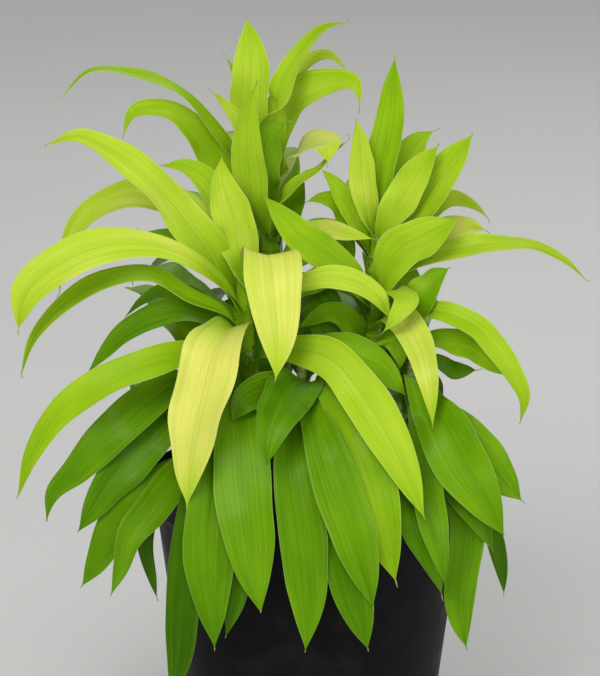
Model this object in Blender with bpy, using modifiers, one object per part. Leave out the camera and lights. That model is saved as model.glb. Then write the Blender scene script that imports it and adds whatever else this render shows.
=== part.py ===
"""Potted limelight dracaena: six leafy canes standing in potting mix in a plain nursery pot."""
import math
import random

import bmesh
import bpy
import numpy as np
from mathutils import Vector
from mathutils.bvhtree import BVHTree

# Pot, in metres
RIM_RADIUS = 0.160
ROLL = 0.002
COLLAR_RADIUS = 0.154
COLLAR_BOTTOM = 0.246
BASE_RADIUS = 0.120
POT_HEIGHT = 0.280
WALL = 0.003
FLOOR_THICKNESS = 0.004
FOOT_BEVEL = 0.006
POT_STEPS = 24
DRAIN_HOLES = 6
DRAIN_RADIUS = 0.011
DRAIN_CIRCLE = 0.092

# Potting mix, with room round it for the pot's flat sides
FIT_GAP = 0.0003
MIX_ROOM = 0.0016
RIM_ROOM = 0.0025
SOIL_HEIGHT = 0.258
MOUND = 0.006
MOUND_RINGS = (0.3, 0.55, 0.78)
SOIL_LUMP = 0.0015
CANE_DEPTH = 0.110
HOLE_ROOM = 0.0006
HOLE_SIDES = 12

# Foliage
CM = 0.01
SIGHT_TILT = math.radians(15.0)
SIGHT_LEVEL = 0.270
BLADE_THICKNESS = 0.0009
BLADE_ROWS = 8
BLADE_COLUMNS = 2
ROOT_DEPTH = 0.5
STEM_RINGS = 7
STEM_TAPER = 0.35
STEM_TOP = 1.2
SCAR_NECK = 0.965
GOLDEN_TURN = 0.38197
SEED = 41

# Cross-section of a blade: a trough that opens out from the root, and a slow wave along its edges
TROUGH_AT_ROOT = 0.75
TROUGH_OPENS = 0.62
TROUGH_REACH = 0.45
WAVE_HEIGHT = 0.10
WAVE_TURNS = 13.0

# How leaves that meet bend apart: room between them, steps, and rows at the root that hold fast
SETTLE_GAP = 0.005
SETTLE_STEPS = 90
SETTLE_STRIDE = 0.0016
HELD_ROWS = 0.5
LOOSENING_ROWS = 2.5
OWN_ROOT_ROWS = 2

# Width of a blade from root to tip, as shares of its greatest width, which is at WIDEST
BLADE_OUTLINE = ((0.0, 0.26), (0.12, 0.34), (0.28, 0.52), (0.45, 0.82), (0.58, 0.97), (0.66, 1.0),
                 (0.78, 0.90), (0.885, 0.62), (0.945, 0.36), (1.0, 0.0))
WIDEST = 0.66

# Canes: foot (across, out), top (across, out, rise), lowest leaf's rise, radius; all in cm.
# Across is to the right of the pot's axis, out is in front of it, rise is above SIGHT_LEVEL.
CANES = {
    "left": ((-5.2, 3.2), (-6.7, 4.6, 21.5), 1.0, 0.85),
    "back": ((-2.0, -5.5), (-4.0, -4.2, 27.0), 1.0, 0.90),
    "right": ((5.6, -0.8), (6.6, 1.2, 24.5), 5.0, 0.85),
    "front": ((-0.6, 7.4), (-0.8, 6.6, 13.0), 1.0, 0.75),
    "low_right": ((9.6, 2.6), (10.2, 3.6, 16.5), 1.0, 0.75),
    "low_left": ((-10.0, 0.4), (-11.2, 1.6, 12.5), 1.0, 0.75),
}

# Leaves that shape the front: cane, rise of the root, width, place of the greatest width (0 root
# to 1 tip), turn to the front (0 to 1), then the midrib's points after the root as (across, out,
# up) in cm, where up is the height above SIGHT_LEVEL as seen from SIGHT_TILT above the horizontal.
LEAVES = (
    ("left", 17.6, 4.2, 0.36, 0.85, ((-8.7, 5.8, 20.3), (-12.0, 7.2, 25.6), (-15.9, 8.2, 30.0),
                                     (-20.1, 9.0, 33.0), (-23.5, 9.5, 34.1), (-25.4, 9.5, 33.8),
                                     (-26.0, 9.5, 32.5))),
    ("left", 18.6, 3.4, 0.50, 0.70, ((-7.5, 2.5, 23.9), (-9.6, 1.5, 28.8), (-12.4, 1.0, 31.1),
                                     (-15.0, 1.0, 30.8))),
    ("left", 19.4, 4.2, 0.52, 0.95, ((-6.6, 5.2, 20.4), (-7.5, 5.6, 24.8), (-8.4, 5.8, 28.6),
                                     (-9.1, 5.8, 32.1))),
    ("left", 18.0, 3.3, 0.50, 0.70, ((-7.9, 3.5, 22.7), (-11.9, 1.5, 27.1), (-16.0, 0.5, 28.7),
                                     (-20.4, 0.0, 27.6), (-23.8, 0.0, 24.1), (-25.3, 0.0, 18.0))),
    ("left", 16.4, 4.1, 0.76, 0.85, ((-8.3, 7.0, 18.9), (-11.2, 9.0, 21.7), (-14.7, 10.5, 23.3),
                                     (-18.6, 11.5, 23.5), (-22.0, 12.0, 22.7), (-25.4, 12.5, 20.8),
                                     (-28.0, 12.5, 18.3), (-29.0, 12.5, 16.4), (-28.4, 12.5, 14.1))),
    ("left", 17.2, 2.8, 0.55, 0.50, ((-9.9, 3.0, 22.5), (-13.9, 2.5, 24.3), (-17.3, 2.5, 24.3))),
    ("left", 15.2, 2.4, 0.50, 0.55, ((-8.7, 7.0, 16.8), (-11.8, 8.0, 18.1), (-15.2, 8.8, 20.3),
                                     (-19.4, 9.2, 20.2), (-23.4, 9.5, 18.1), (-26.3, 9.5, 15.5),
                                     (-27.9, 9.5, 12.8), (-28.6, 9.5, 9.9))),
    ("left", 14.0, 2.8, 0.50, 0.60, ((-9.4, 5.5, 15.6), (-13.0, 6.0, 16.9), (-17.2, 6.0, 15.5),
                                     (-20.2, 6.0, 12.8), (-22.0, 6.0, 10.2))),
    ("left", 13.2, 2.2, 0.50, 0.50, ((-9.1, 2.4, 15.8), (-12.7, 0.8, 18.3), (-15.9, 0.2, 18.3),
                                     (-18.3, 0.2, 16.0))),
    ("left", 12.0, 3.3, 0.48, 0.80, ((-9.5, 7.5, 12.8), (-14.3, 9.5, 12.2), (-19.1, 10.5, 10.4),
                                     (-23.6, 11.0, 7.5), (-26.4, 11.0, 4.4), (-28.0, 11.0, 1.2),
                                     (-28.6, 11.0, -1.9))),
    ("left", 15.8, 6.4, 0.52, 0.15, ((-7.3, 7.5, 15.2), (-8.3, 11.5, 14.7), (-9.7, 14.6, 12.2),
                                     (-10.9, 16.0, 7.9), (-11.8, 16.3, 2.7), (-12.0, 16.3, -2.8))),
    ("left", 19.0, 5.7, 0.56, 0.15, ((-5.5, 6.2, 20.1), (-4.4, 8.6, 22.2), (-3.8, 11.4, 21.8),
                                     (-3.4, 13.4, 18.7), (-3.1, 14.6, 14.4), (-2.9, 15.2, 9.7))),
    ("left", 18.2, 2.6, 0.72, 0.80, ((-4.7, 6.6, 18.2), (-0.8, 8.0, 19.6), (2.4, 8.6, 20.3),
                                     (5.1, 9.0, 19.5), (6.8, 9.2, 18.0), (7.6, 9.2, 15.7))),
    ("left", 8.5, 5.9, 0.62, 1.00, ((-6.6, 9.5, 8.6), (-6.6, 14.5, 5.7), (-6.4, 17.6, -0.7),
                                    (-5.8, 18.2, -7.0), (-4.9, 18.2, -12.9))),
    ("left", 4.5, 4.0, 0.60, 1.00, ((-6.9, 9.0, 4.1), (-7.3, 15.5, -1.7), (-7.2, 17.0, -9.5),
                                    (-8.0, 17.0, -15.6))),
    ("left", 6.0, 5.3, 0.62, 1.00, ((-8.3, 8.5, 5.1), (-9.5, 13.5, 1.7), (-9.9, 16.0, -4.6),
                                    (-9.6, 16.2, -11.6), (-9.4, 16.2, -16.7))),
    ("left", 10.5, 4.0, 0.60, 0.90, ((-7.9, 7.0, 10.6), (-9.1, 9.5, 9.1), (-9.7, 11.0, 4.7))),
    ("left", 12.0, 4.6, 0.60, 1.00, ((-4.2, 7.5, 12.7), (-1.0, 10.4, 13.0), (2.0, 13.4, 12.2),
                                     (5.0, 15.6, 8.8), (7.9, 16.8, 4.1), (10.0, 17.0, -0.7),
                                     (11.1, 17.0, -3.9))),
    ("back", 25.0, 1.9, 0.45, 0.32, ((-7.0, -3.5, 30.9), (-10.4, -3.0, 35.3), (-12.4, -2.7, 37.8),
                                     (-15.8, -2.4, 39.7), (-20.3, -2.0, 40.8), (-23.2, -1.5, 40.0),
                                     (-24.7, -1.5, 37.8))),
    ("back", 24.0, 3.1, 0.52, 0.70, ((-6.6, -3.2, 27.9), (-9.5, -2.4, 32.7), (-12.7, -1.6, 36.4),
                                     (-15.8, -1.2, 36.9), (-18.2, -1.0, 36.1), (-18.6, -0.8, 34.0))),
    ("back", 26.4, 4.0, 0.68, 0.95, ((-4.6, -3.8, 31.9), (-5.3, -3.6, 38.3), (-6.0, -3.8, 42.9),
                                     (-6.9, -4.4, 46.6))),
    ("back", 25.6, 1.9, 0.50, 0.90, ((-5.6, -5.6, 31.9), (-6.7, -6.2, 38.9), (-8.6, -6.6, 43.1))),
    ("back", 24.6, 1.8, 0.60, 0.80, ((-5.6, -2.2, 29.7), (-6.6, -1.6, 34.3), (-9.7, -1.2, 39.4))),
    ("back", 23.4, 3.5, 0.55, 0.95, ((-5.4, 1.0, 26.9), (-6.2, 2.4, 32.2), (-6.1, 2.8, 36.6),
                                     (-4.7, 2.8, 39.8))),
    ("back", 26.0, 2.9, 0.45, 0.75, ((-3.4, -2.2, 32.7), (-2.9, -1.4, 37.3), (-2.0, -1.4, 41.1),
                                     (0.1, -1.8, 43.9), (2.1, -2.0, 45.9), (3.3, -2.0, 46.5),
                                     (4.2, -1.8, 45.9))),
    ("back", 25.4, 2.1, 0.50, 0.90, ((-3.4, -5.6, 33.9), (-2.6, -5.6, 39.1), (-0.8, -5.4, 41.4),
                                     (1.2, -5.2, 42.4), (3.2, -5.0, 41.8), (4.3, -5.0, 40.4))),
    ("back", 24.8, 3.7, 0.52, 0.85, ((-3.5, -4.0, 30.7), (-3.0, -3.8, 34.5), (-1.3, -3.2, 37.4),
                                     (1.2, -1.6, 39.0), (3.5, -0.4, 39.4), (5.3, 0.4, 38.8),
                                     (5.1, 0.6, 36.4))),
    ("back", 24.2, 4.6, 0.55, 0.90, ((-4.2, -1.4, 29.1), (-3.6, -0.2, 32.0), (-2.6, 0.4, 34.0),
                                     (-1.1, 0.4, 35.1))),
    ("back", 23.0, 2.8, 0.55, 0.90, ((-3.0, -2.8, 26.4), (-2.0, -2.2, 28.7), (-0.7, -1.8, 30.9))),
    ("back", 22.2, 1.6, 0.50, 0.50, ((-4.0, -2.4, 26.7), (-3.1, -0.4, 29.2), (-1.2, 0.6, 30.6),
                                     (0.8, 1.6, 31.8), (2.7, 1.6, 33.1), (4.5, 1.4, 34.3))),
    ("back", 19.0, 3.6, 0.55, 0.70, ((-1.6, -2.2, 22.4), (1.0, -1.0, 24.5), (3.0, -0.4, 23.5),
                                     (4.0, -0.2, 20.6))),
    ("back", 17.0, 4.2, 0.55, 0.90, ((-0.8, -1.0, 19.0), (1.4, 2.0, 17.6), (2.4, 3.4, 14.0),
                                     (2.6, 3.8, 10.5))),
    ("back", 14.0, 5.6, 0.55, 0.90, ((-4.2, -1.6, 15.4), (-4.6, 0.6, 13.0), (-5.0, 1.2, 8.8))),
    ("back", 22.6, 4.8, 0.72, 0.22, ((-3.8, -4.6, 29.2), (-3.2, -4.4, 31.7), (-2.0, -2.4, 33.7),
                                     (-0.2, 0.8, 34.1), (1.1, 3.0, 33.4), (1.0, 4.2, 31.4))),
    ("back", 19.6, 2.3, 0.60, 0.90, ((-1.2, -1.8, 24.2), (1.8, 1.8, 24.8), (4.2, 3.6, 24.4),
                                     (6.7, 4.4, 23.6))),
    ("right", 24.0, 2.9, 0.55, 0.90, ((5.4, 1.8, 27.8), (5.0, 2.2, 31.8), (4.9, 2.4, 36.2))),
    ("right", 24.2, 3.2, 0.55, 0.95, ((7.1, 0.4, 29.8), (7.9, 0.4, 35.2), (8.0, 0.2, 38.9),
                                      (8.0, 0.0, 42.6))),
    ("right", 23.2, 3.6, 0.60, 0.80, ((7.6, -1.0, 27.4), (9.6, -2.0, 31.7), (11.3, -2.6, 34.5),
                                      (12.8, -2.8, 35.5))),
    ("right", 22.6, 3.5, 0.60, 0.80, ((7.5, 2.2, 25.4), (9.5, 2.8, 28.8), (11.6, 3.2, 31.9),
                                      (13.0, 3.4, 33.6))),
    ("right", 21.4, 4.2, 0.60, 0.80, ((8.5, 2.0, 23.7), (11.2, 2.2, 27.6), (14.0, 2.2, 31.6),
                                      (16.3, 2.2, 34.5))),
    ("right", 20.6, 2.6, 0.55, 0.60, ((9.1, 0.4, 23.9), (12.3, 0.0, 27.9), (15.1, -0.2, 31.3))),
    ("right", 19.8, 2.6, 0.50, 0.50, ((8.9, -1.4, 23.3), (11.9, -2.4, 26.9), (14.4, -2.8, 28.1),
                                      (16.7, -3.0, 27.2), (18.3, -3.2, 25.9))),
    ("right", 18.8, 3.6, 0.62, 0.60, ((9.3, -0.6, 21.8), (12.7, -1.4, 24.3), (15.7, -1.6, 25.3),
                                      (17.9, -1.6, 24.1))),
    ("right", 18.0, 2.5, 0.36, 0.45, ((9.3, 2.4, 20.7), (12.8, 3.0, 22.6), (17.8, 3.4, 23.6),
                                      (21.7, 3.6, 23.5), (24.5, 3.6, 22.3), (26.7, 3.6, 21.0),
                                      (27.8, 3.6, 19.3))),
    ("right", 17.6, 4.5, 0.66, 0.90, ((8.1, 4.2, 20.1), (10.2, 5.0, 22.9), (12.4, 5.4, 24.8),
                                      (14.6, 5.4, 26.3))),
    ("right", 16.6, 4.0, 0.62, 0.70, ((8.7, 4.2, 17.4), (10.7, 4.8, 18.6), (12.8, 5.0, 19.8),
                                      (14.6, 5.0, 20.9))),
    ("right", 15.8, 3.3, 0.48, 0.20, ((8.1, 5.4, 18.2), (9.0, 8.0, 19.0), (9.2, 10.0, 17.7),
                                      (8.1, 10.6, 16.2), (6.7, 10.6, 14.6))),
    ("right", 17.0, 3.5, 0.60, 0.90, ((4.1, 4.4, 19.9), (1.5, 5.2, 22.5), (-2.1, 5.6, 25.5),
                                      (-4.5, 5.8, 28.4))),
    ("right", 22.0, 2.6, 0.50, 0.70, ((4.4, 0.0, 25.5), (2.0, 0.4, 28.1), (-0.6, 0.6, 27.3))),
    ("right", 15.2, 3.3, 0.45, 0.90, ((7.8, 4.2, 16.8), (8.9, 7.4, 16.2), (10.2, 9.6, 14.2),
                                      (11.2, 10.6, 11.8), (11.7, 11.0, 9.4), (12.2, 11.2, 7.1),
                                      (12.8, 11.2, 4.6))),
    ("right", 13.0, 2.8, 0.50, 0.80, ((4.0, 2.6, 15.6), (1.6, 3.8, 16.8), (-1.4, 4.4, 14.6))),
    ("right", 15.0, 3.2, 0.55, 0.60, ((4.2, 0.6, 18.6), (1.8, 1.2, 20.0), (-1.0, 1.4, 19.0),
                                      (-2.4, 1.4, 16.6))),
    ("right", 7.5, 3.6, 0.55, 0.70, ((7.7, 1.8, 10.0), (9.1, 2.6, 10.8), (10.5, 3.0, 8.0))),
    ("right", 22.4, 2.2, 0.60, 0.80, ((4.5, 1.6, 25.7), (3.0, 1.8, 28.6), (1.0, 2.0, 31.6))),
    ("right", 14.2, 2.8, 0.55, 0.90, ((7.3, 4.2, 13.9), (8.7, 5.8, 12.0), (9.5, 6.2, 9.8),
                                      (9.9, 6.0, 7.9))),
    ("front", 10.8, 4.0, 0.55, 0.80, ((1.2, 6.5, 12.8), (4.1, 7.6, 12.4), (7.3, 8.2, 10.7),
                                      (9.4, 8.2, 7.8))),
    ("front", 10.4, 5.0, 0.50, 1.00, ((-0.4, 9.0, 9.8), (-1.8, 12.6, 9.0), (-3.5, 18.0, 6.0),
                                      (-4.7, 19.2, 1.7))),
    ("front", 9.0, 3.6, 0.60, 0.90, ((-2.2, 8.0, 8.3), (-4.3, 9.6, 8.8), (-6.5, 11.2, 8.0),
                                     (-8.5, 12.0, 5.2))),
    ("front", 6.0, 4.8, 0.64, 1.00, ((-1.4, 10.4, 6.1), (-2.0, 15.6, 2.7), (-1.0, 18.2, -3.6),
                                     (-0.3, 18.6, -10.5), (0.1, 18.6, -17.2))),
    ("front", 8.0, 4.9, 0.64, 1.00, ((-0.2, 10.4, 7.9), (1.2, 15.4, 4.2), (3.2, 18.0, -2.2),
                                     (5.0, 18.6, -7.7), (6.3, 18.6, -12.8))),
    ("front", 9.6, 5.2, 0.62, 1.00, ((1.0, 9.4, 9.9), (3.5, 13.4, 6.6), (5.5, 16.2, 0.9),
                                     (7.0, 17.2, -4.6), (8.6, 17.4, -10.5))),
    ("front", 3.6, 4.4, 0.70, 1.00, ((0.8, 10.0, 3.2), (2.1, 15.6, -1.7), (3.1, 17.0, -6.6),
                                     (4.5, 17.2, -12.0), (5.5, 17.2, -16.7))),
    ("low_right", 15.2, 2.6, 0.55, 0.70, ((10.7, 5.4, 16.9), (12.8, 7.0, 17.0), (15.2, 8.2, 15.9),
                                          (17.5, 8.8, 13.9), (19.3, 9.0, 11.7), (20.7, 9.0, 9.3),
                                          (21.1, 9.0, 7.4), (20.1, 9.0, 5.5))),
    ("low_right", 14.2, 3.0, 0.55, 0.70, ((11.9, 4.6, 14.2), (15.0, 5.2, 13.6), (17.6, 5.4, 12.0),
                                          (19.4, 5.4, 10.2))),
    ("low_right", 13.0, 2.2, 0.55, 0.60, ((11.9, 2.8, 11.8), (14.4, 3.0, 11.1), (17.2, 3.0, 10.9))),
    ("low_right", 10.5, 4.8, 0.62, 0.90, ((11.3, 6.0, 8.3), (13.8, 8.6, 5.6), (16.8, 9.8, 2.4),
                                          (19.0, 10.2, -0.2), (20.7, 10.2, -2.6))),
    ("low_right", 11.5, 5.7, 0.62, 0.95, ((10.6, 8.0, 10.5), (12.4, 11.2, 5.7), (14.9, 12.8, 0.6),
                                          (17.5, 13.4, -3.1), (19.3, 13.4, -5.7))),
    ("low_right", 7.0, 4.8, 0.62, 0.90, ((11.3, 6.0, 5.7), (13.2, 8.8, 0.2), (15.6, 9.8, -4.8),
                                         (18.0, 10.0, -8.4))),
    ("low_right", 4.0, 1.9, 0.70, 0.80, ((12.5, 5.0, 3.1), (16.3, 6.6, -1.5), (18.7, 7.2, -6.7),
                                         (19.3, 7.2, -11.8))),
    ("low_right", 5.0, 4.8, 0.60, 0.95, ((9.3, 8.0, 3.5), (8.1, 12.6, -2.3), (9.2, 13.6, -7.7),
                                         (12.9, 13.6, -12.2))),
    ("low_right", 8.6, 3.2, 0.62, 0.95, ((10.4, 9.0, 6.9), (11.2, 14.2, 1.2), (12.3, 16.2, -4.6),
                                         (13.5, 16.4, -10.4))),
    ("low_right", 2.6, 3.8, 0.66, 0.90, ((10.5, 7.0, 0.7), (11.6, 11.6, -4.7), (13.4, 12.8, -9.7),
                                         (14.8, 13.0, -13.9), (15.7, 13.0, -17.3))),
    ("low_left", 10.4, 4.2, 0.42, 0.85, ((-13.5, 4.8, 9.6), (-16.8, 6.8, 6.9), (-20.4, 7.8, 4.0),
                                         (-23.6, 8.2, 0.7), (-25.6, 8.2, -1.6), (-25.9, 8.2, -4.5))),
    ("low_left", 7.6, 4.2, 0.55, 0.85, ((-13.3, 5.4, 6.3), (-16.6, 7.4, 3.1), (-20.2, 8.4, -0.8),
                                        (-22.9, 8.6, -5.5))),
    ("low_left", 6.0, 2.8, 0.60, 0.80, ((-13.3, 3.0, 6.8), (-16.3, 3.8, 4.1), (-18.9, 4.2, -0.9))),
    ("low_left", 4.2, 3.9, 0.60, 0.90, ((-12.3, 5.6, 1.1), (-14.4, 8.4, -1.8), (-17.3, 9.6, -3.6),
                                        (-20.3, 10.0, -6.8), (-22.6, 10.0, -11.0))),
    ("low_left", 5.0, 3.6, 0.50, 0.95, ((-11.9, 7.4, 0.3), (-14.0, 10.4, -3.1), (-16.6, 12.0, -6.2),
                                        (-18.6, 12.4, -9.0), (-19.8, 12.4, -11.8))),
    ("low_left", 2.0, 2.0, 0.60, 0.90, ((-12.7, 5.6, 0.1), (-14.4, 8.8, -4.8), (-15.2, 9.2, -8.8),
                                        (-15.3, 9.4, -12.4))),
    ("low_left", 3.2, 3.5, 0.68, 0.95, ((-10.5, 7.2, 1.1), (-9.8, 11.4, -4.7), (-10.5, 13.0, -10.7),
                                        (-12.2, 13.4, -15.8), (-14.2, 13.4, -21.8))),
    ("back", 14.0, 4.4, 0.60, 0.90, ((-2.0, -2.8, 16.0), (-0.8, -1.6, 14.6), (-0.4, -0.6, 12.4),
                                     (-0.5, -0.2, 9.4))),
)

# Leaves of the sides and back, which grow round each cane by rule: how many, the headings that
# they fill (degrees, 0 to the right, 90 to the back), and their lengths in cm
HIDDEN_LEAVES = {
    "left": (4, 92, 138, (22, 27)),
    "back": (10, 90, 138, (22, 27)),
    "right": (5, 64, 116, (20, 25)),
    "front": (1, 60, 120, (16, 18)),
    "low_right": (5, 74, 122, (20, 24)),
    "low_left": (6, 65, 132, (21, 27)),
}
HIDDEN_WIDTHS = (4.6, 5.8)
HIDDEN_BELLY = 0.6
HIDDEN_PIECES = 6
YOUNGER_SHORTER = 0.28
STEEPEST_HANG = math.radians(-82)


def spot(across, out, up):
    """World point of a place given in cm, with its height as seen from SIGHT_TILT above."""
    rise = (up + out * math.sin(SIGHT_TILT)) / math.cos(SIGHT_TILT)
    return np.array((across * CM, -out * CM, SIGHT_LEVEL + rise * CM))


def cane_axis(cane, rise):
    """Point on a cane's axis at a height in cm above SIGHT_LEVEL: upright in the soil, then leaning."""
    (foot_across, foot_out), (top_across, top_out, top_rise), _lowest, _radius = CANES[cane]
    share = min(max(rise / top_rise, 0.0), 1.0)
    lean = share * share * (3.0 - 2.0 * share)
    across = foot_across + (top_across - foot_across) * lean
    out = foot_out + (top_out - foot_out) * lean
    return np.array((across * CM, -out * CM, SIGHT_LEVEL + rise * CM))


def unit(vector):
    """Vector of length one."""
    return vector / max(np.linalg.norm(vector), 1e-9)


def smooth_route(points, rows):
    """Evenly spaced points on a smooth curve through the given ones."""
    ends = [2 * points[0] - points[1]] + list(points) + [2 * points[-1] - points[-2]]
    dense = []
    for a, b, c, d in zip(ends, ends[1:], ends[2:], ends[3:]):
        for t in np.linspace(0.0, 1.0, 14, endpoint=False):
            dense.append(0.5 * (2 * b + (c - a) * t + (2 * a - 5 * b + 4 * c - d) * t * t
                                + (3 * b - a - 3 * c + d) * t ** 3))
    dense.append(points[-1])
    dense = np.array(dense)
    travel = np.concatenate(([0.0], np.cumsum(np.linalg.norm(np.diff(dense, axis=0), axis=1))))
    stops = np.linspace(0.0, travel[-1], rows)
    return np.array([[np.interp(s, travel, dense[:, k]) for k in range(3)] for s in stops])


def roll_about(vector, axis, angle):
    """Vector turned about a unit axis."""
    along = axis * np.dot(axis, vector)
    return along + (vector - along) * math.cos(angle) + np.cross(axis, vector) * math.sin(angle)


def blade_frames(centres, face):
    """Side and upper normal at each row: carried along the midrib, then turned to the front."""
    tangents = np.gradient(centres, axis=0)
    heading = centres[len(centres) // 2] - centres[0]
    heading = unit(np.array((heading[0], heading[1], 0.0)))
    side = np.cross(heading, (0.0, 0.0, 1.0))
    front = np.array((0.0, -math.cos(SIGHT_TILT), math.sin(SIGHT_TILT)))
    sides, normals = [], []
    for row, tangent in enumerate(tangents):
        tangent = unit(tangent)
        side = unit(side - tangent * np.dot(side, tangent))
        upper = np.cross(side, tangent)
        aim = front - tangent * np.dot(front, tangent)
        angle = math.atan2(np.dot(np.cross(upper, aim), tangent), np.dot(upper, aim))
        ease = min(1.0, row / (len(centres) * 0.3)) * min(1.0, np.linalg.norm(aim) * 2.0)
        roll = angle * face * ease if abs(angle) < 2.6 else 0.0
        sides.append(roll_about(side, tangent, roll))
        normals.append(roll_about(upper, tangent, roll))
    return np.array(sides), np.array(normals)


def hidden_route(cane, number, count, chance):
    """Points of a leaf that grows by rule: older and lower ones leave the cane flatter and hang."""
    _foot, (_across, _out, top), lowest, _radius = CANES[cane]
    _count, start, end, (shortest, longest) = HIDDEN_LEAVES[cane]
    share = (number + 0.5) / count
    bottom = max(lowest + 1.0, 2.5)
    heading = math.radians(start + (end - start) * ((number * GOLDEN_TURN) % 1.0) + chance.uniform(-8, 8))
    length = chance.uniform(shortest, longest) * CM * (1.0 - YOUNGER_SHORTER * share)
    pitch = math.radians(18 + 44 * share + chance.uniform(-6, 6))
    bend = math.radians(125 - 45 * share + chance.uniform(-12, 12))
    point = cane_axis(cane, bottom + (top - 1.5 - bottom) * share)
    route = [point]
    for piece in range(HIDDEN_PIECES):
        slope = max(pitch - bend * ((piece + 0.3) / HIDDEN_PIECES) ** 1.25, STEEPEST_HANG)
        ahead = np.array((math.cos(heading), math.sin(heading), 0.0)) * math.cos(slope)
        point = point + (ahead + np.array((0.0, 0.0, math.sin(slope)))) * length / HIDDEN_PIECES
        route.append(point)
    return route, share


def root_in_stem(route, radius):
    """Route whose first point lies between the stem's axis and its surface, on the leaf's own side."""
    ahead = route[1] - route[0]
    ahead = unit(np.array((ahead[0], ahead[1], 0.0)))
    return [route[0] + ahead * radius * ROOT_DEPTH] + list(route[1:])


def all_leaves():
    """Every leaf's cane, midrib points, frames and width, before the leaves settle."""
    chance = random.Random(SEED)
    leaves = []
    for cane, rise, width, belly, face, points in LEAVES:
        route = [cane_axis(cane, rise)] + [spot(*point) for point in points]
        leaves.append({"cane": cane, "route": route, "width": width * CM, "belly": belly, "face": face})
    for cane, (count, _start, _end, _lengths) in HIDDEN_LEAVES.items():
        for number in range(count):
            route, _share = hidden_route(cane, number, count, chance)
            width = chance.uniform(*HIDDEN_WIDTHS) * CM
            leaves.append({"cane": cane, "route": route, "width": width, "belly": HIDDEN_BELLY, "face": 0.0})
    for leaf in leaves:
        leaf["route"] = root_in_stem(leaf["route"], CANES[leaf["cane"]][3] * CM)
        leaf["centres"] = smooth_route(leaf["route"], BLADE_ROWS)
        leaf["sides"], leaf["normals"] = blade_frames(leaf["centres"], leaf["face"])
        leaf["phase"] = chance.uniform(0.0, 2 * math.pi)
    return leaves


def outline_share(leaf, t):
    """Share of a leaf's greatest width at a place along it."""
    places, shares = zip(*BLADE_OUTLINE)
    return np.interp(t ** (math.log(WIDEST) / math.log(leaf["belly"])), places, shares)


def blade_lift(leaf, t, across):
    """Height of the blade above its midrib as a share of its half width: trough and slow wave."""
    trough = TROUGH_AT_ROOT - TROUGH_OPENS * np.minimum(1.0, t / TROUGH_REACH)
    wave = WAVE_HEIGHT * np.sin(leaf["phase"] + t * WAVE_TURNS) * np.sin(math.pi * t)
    return trough * abs(across) + wave * across


def blade_point(leaf, row, across):
    """Point of the blade's middle surface; across runs from -1 to 1 between its edges."""
    t = row / (BLADE_ROWS - 1)
    half = leaf["width"] / 2 * outline_share(leaf, t)
    over = leaf["sides"][row] * across + leaf["normals"][row] * blade_lift(leaf, t, across)
    return leaf["centres"][row] + over * half


def fat_blade(leaf):
    """Corner points of the blade thickened to SETTLE_GAP, upper face first."""
    grid = np.array([[blade_point(leaf, row, across) for across in (-1, 0, 1)] for row in range(BLADE_ROWS)])
    offset = leaf["normals"][:, None, :] * (SETTLE_GAP / 2)
    return np.concatenate(((grid + offset).reshape(-1, 3), (grid - offset).reshape(-1, 3)))


def fat_faces():
    """Triangles of one thickened blade and the row of each."""
    faces, rows = [], []
    under = BLADE_ROWS * 3
    for row in range(BLADE_ROWS - 1):
        for column in range(2):
            a = row * 3 + column
            for corners in ((a, a + 1, a + 4), (a, a + 4, a + 3)):
                faces.append(corners)
                faces.append(tuple(corner + under for corner in corners))
                rows += [row, row]
        for edge in (row * 3, row * 3 + 2):
            faces.append((edge, edge + 3, edge + 3 + under))
            faces.append((edge, edge + 3 + under, edge + under))
            rows += [row, row]
    return faces, rows


def level_ring(middle, radius, sides):
    """Level ring of points round a middle."""
    turns = [2 * math.pi * k / sides for k in range(sides)]
    return [middle + np.array((math.cos(turn), math.sin(turn), 0.0)) * radius for turn in turns]


def sleeve_faces(rings, sides):
    """Triangles that join level rings of points one after another."""
    faces = []
    for ring in range(rings - 1):
        for k in range(sides):
            a = ring * sides + k
            b = ring * sides + (k + 1) % sides
            faces += [(a, b, b + sides), (a, b + sides, a + sides)]
    return faces


def sleeve(rings, sides):
    """Points and triangles of a sleeve through level rings of (middle, radius)."""
    points = [point for middle, radius in rings for point in level_ring(middle, radius, sides)]
    return points, sleeve_faces(len(rings), sides)


def obstacles():
    """What leaves settle against: each cane's sleeve, the pot's rim and wall, and the soil."""
    found = []
    for cane, (_foot, (_across, _out, top), _lowest, radius) in CANES.items():
        rings = [(cane_axis(cane, rise), radius * CM * 1.15) for rise in np.linspace(-1.0, top, 6)]
        found.append((cane, *sleeve(rings, 6)))
    axis = np.array((0.0, 0.0, 1.0))
    inside = RIM_RADIUS - 2 * WALL
    brim = POT_HEIGHT + 0.001
    rings = ((inside, SOIL_HEIGHT), (inside + 0.001, brim), (RIM_RADIUS + 0.003, brim),
             (RIM_RADIUS + ROLL, COLLAR_BOTTOM), (BASE_RADIUS + 0.001, 0.0))
    found.append(("pot", *sleeve([(axis * z, radius) for radius, z in rings], 32)))
    crest = axis * (SOIL_HEIGHT + MOUND + 0.002)
    found.append(("soil", *sleeve([(crest, radius) for radius in (0.001, inside / 2, inside)], 24)))
    return found


def away_from(name, middle):
    """Direction that takes a leaf off an obstacle."""
    if name == "soil":
        return np.array((0.0, 0.0, 1.0))
    if name == "pot":
        lift = 0.9 if middle[2] > COLLAR_BOTTOM - 0.01 else 0.0
        return unit(np.array((middle[0], middle[1], 0.0))) + np.array((0.0, 0.0, lift))
    axis = cane_axis(name, (middle[2] - SIGHT_LEVEL) / CM)
    return unit(np.array((middle[0] - axis[0], middle[1] - axis[1], 0.0)))


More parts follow.
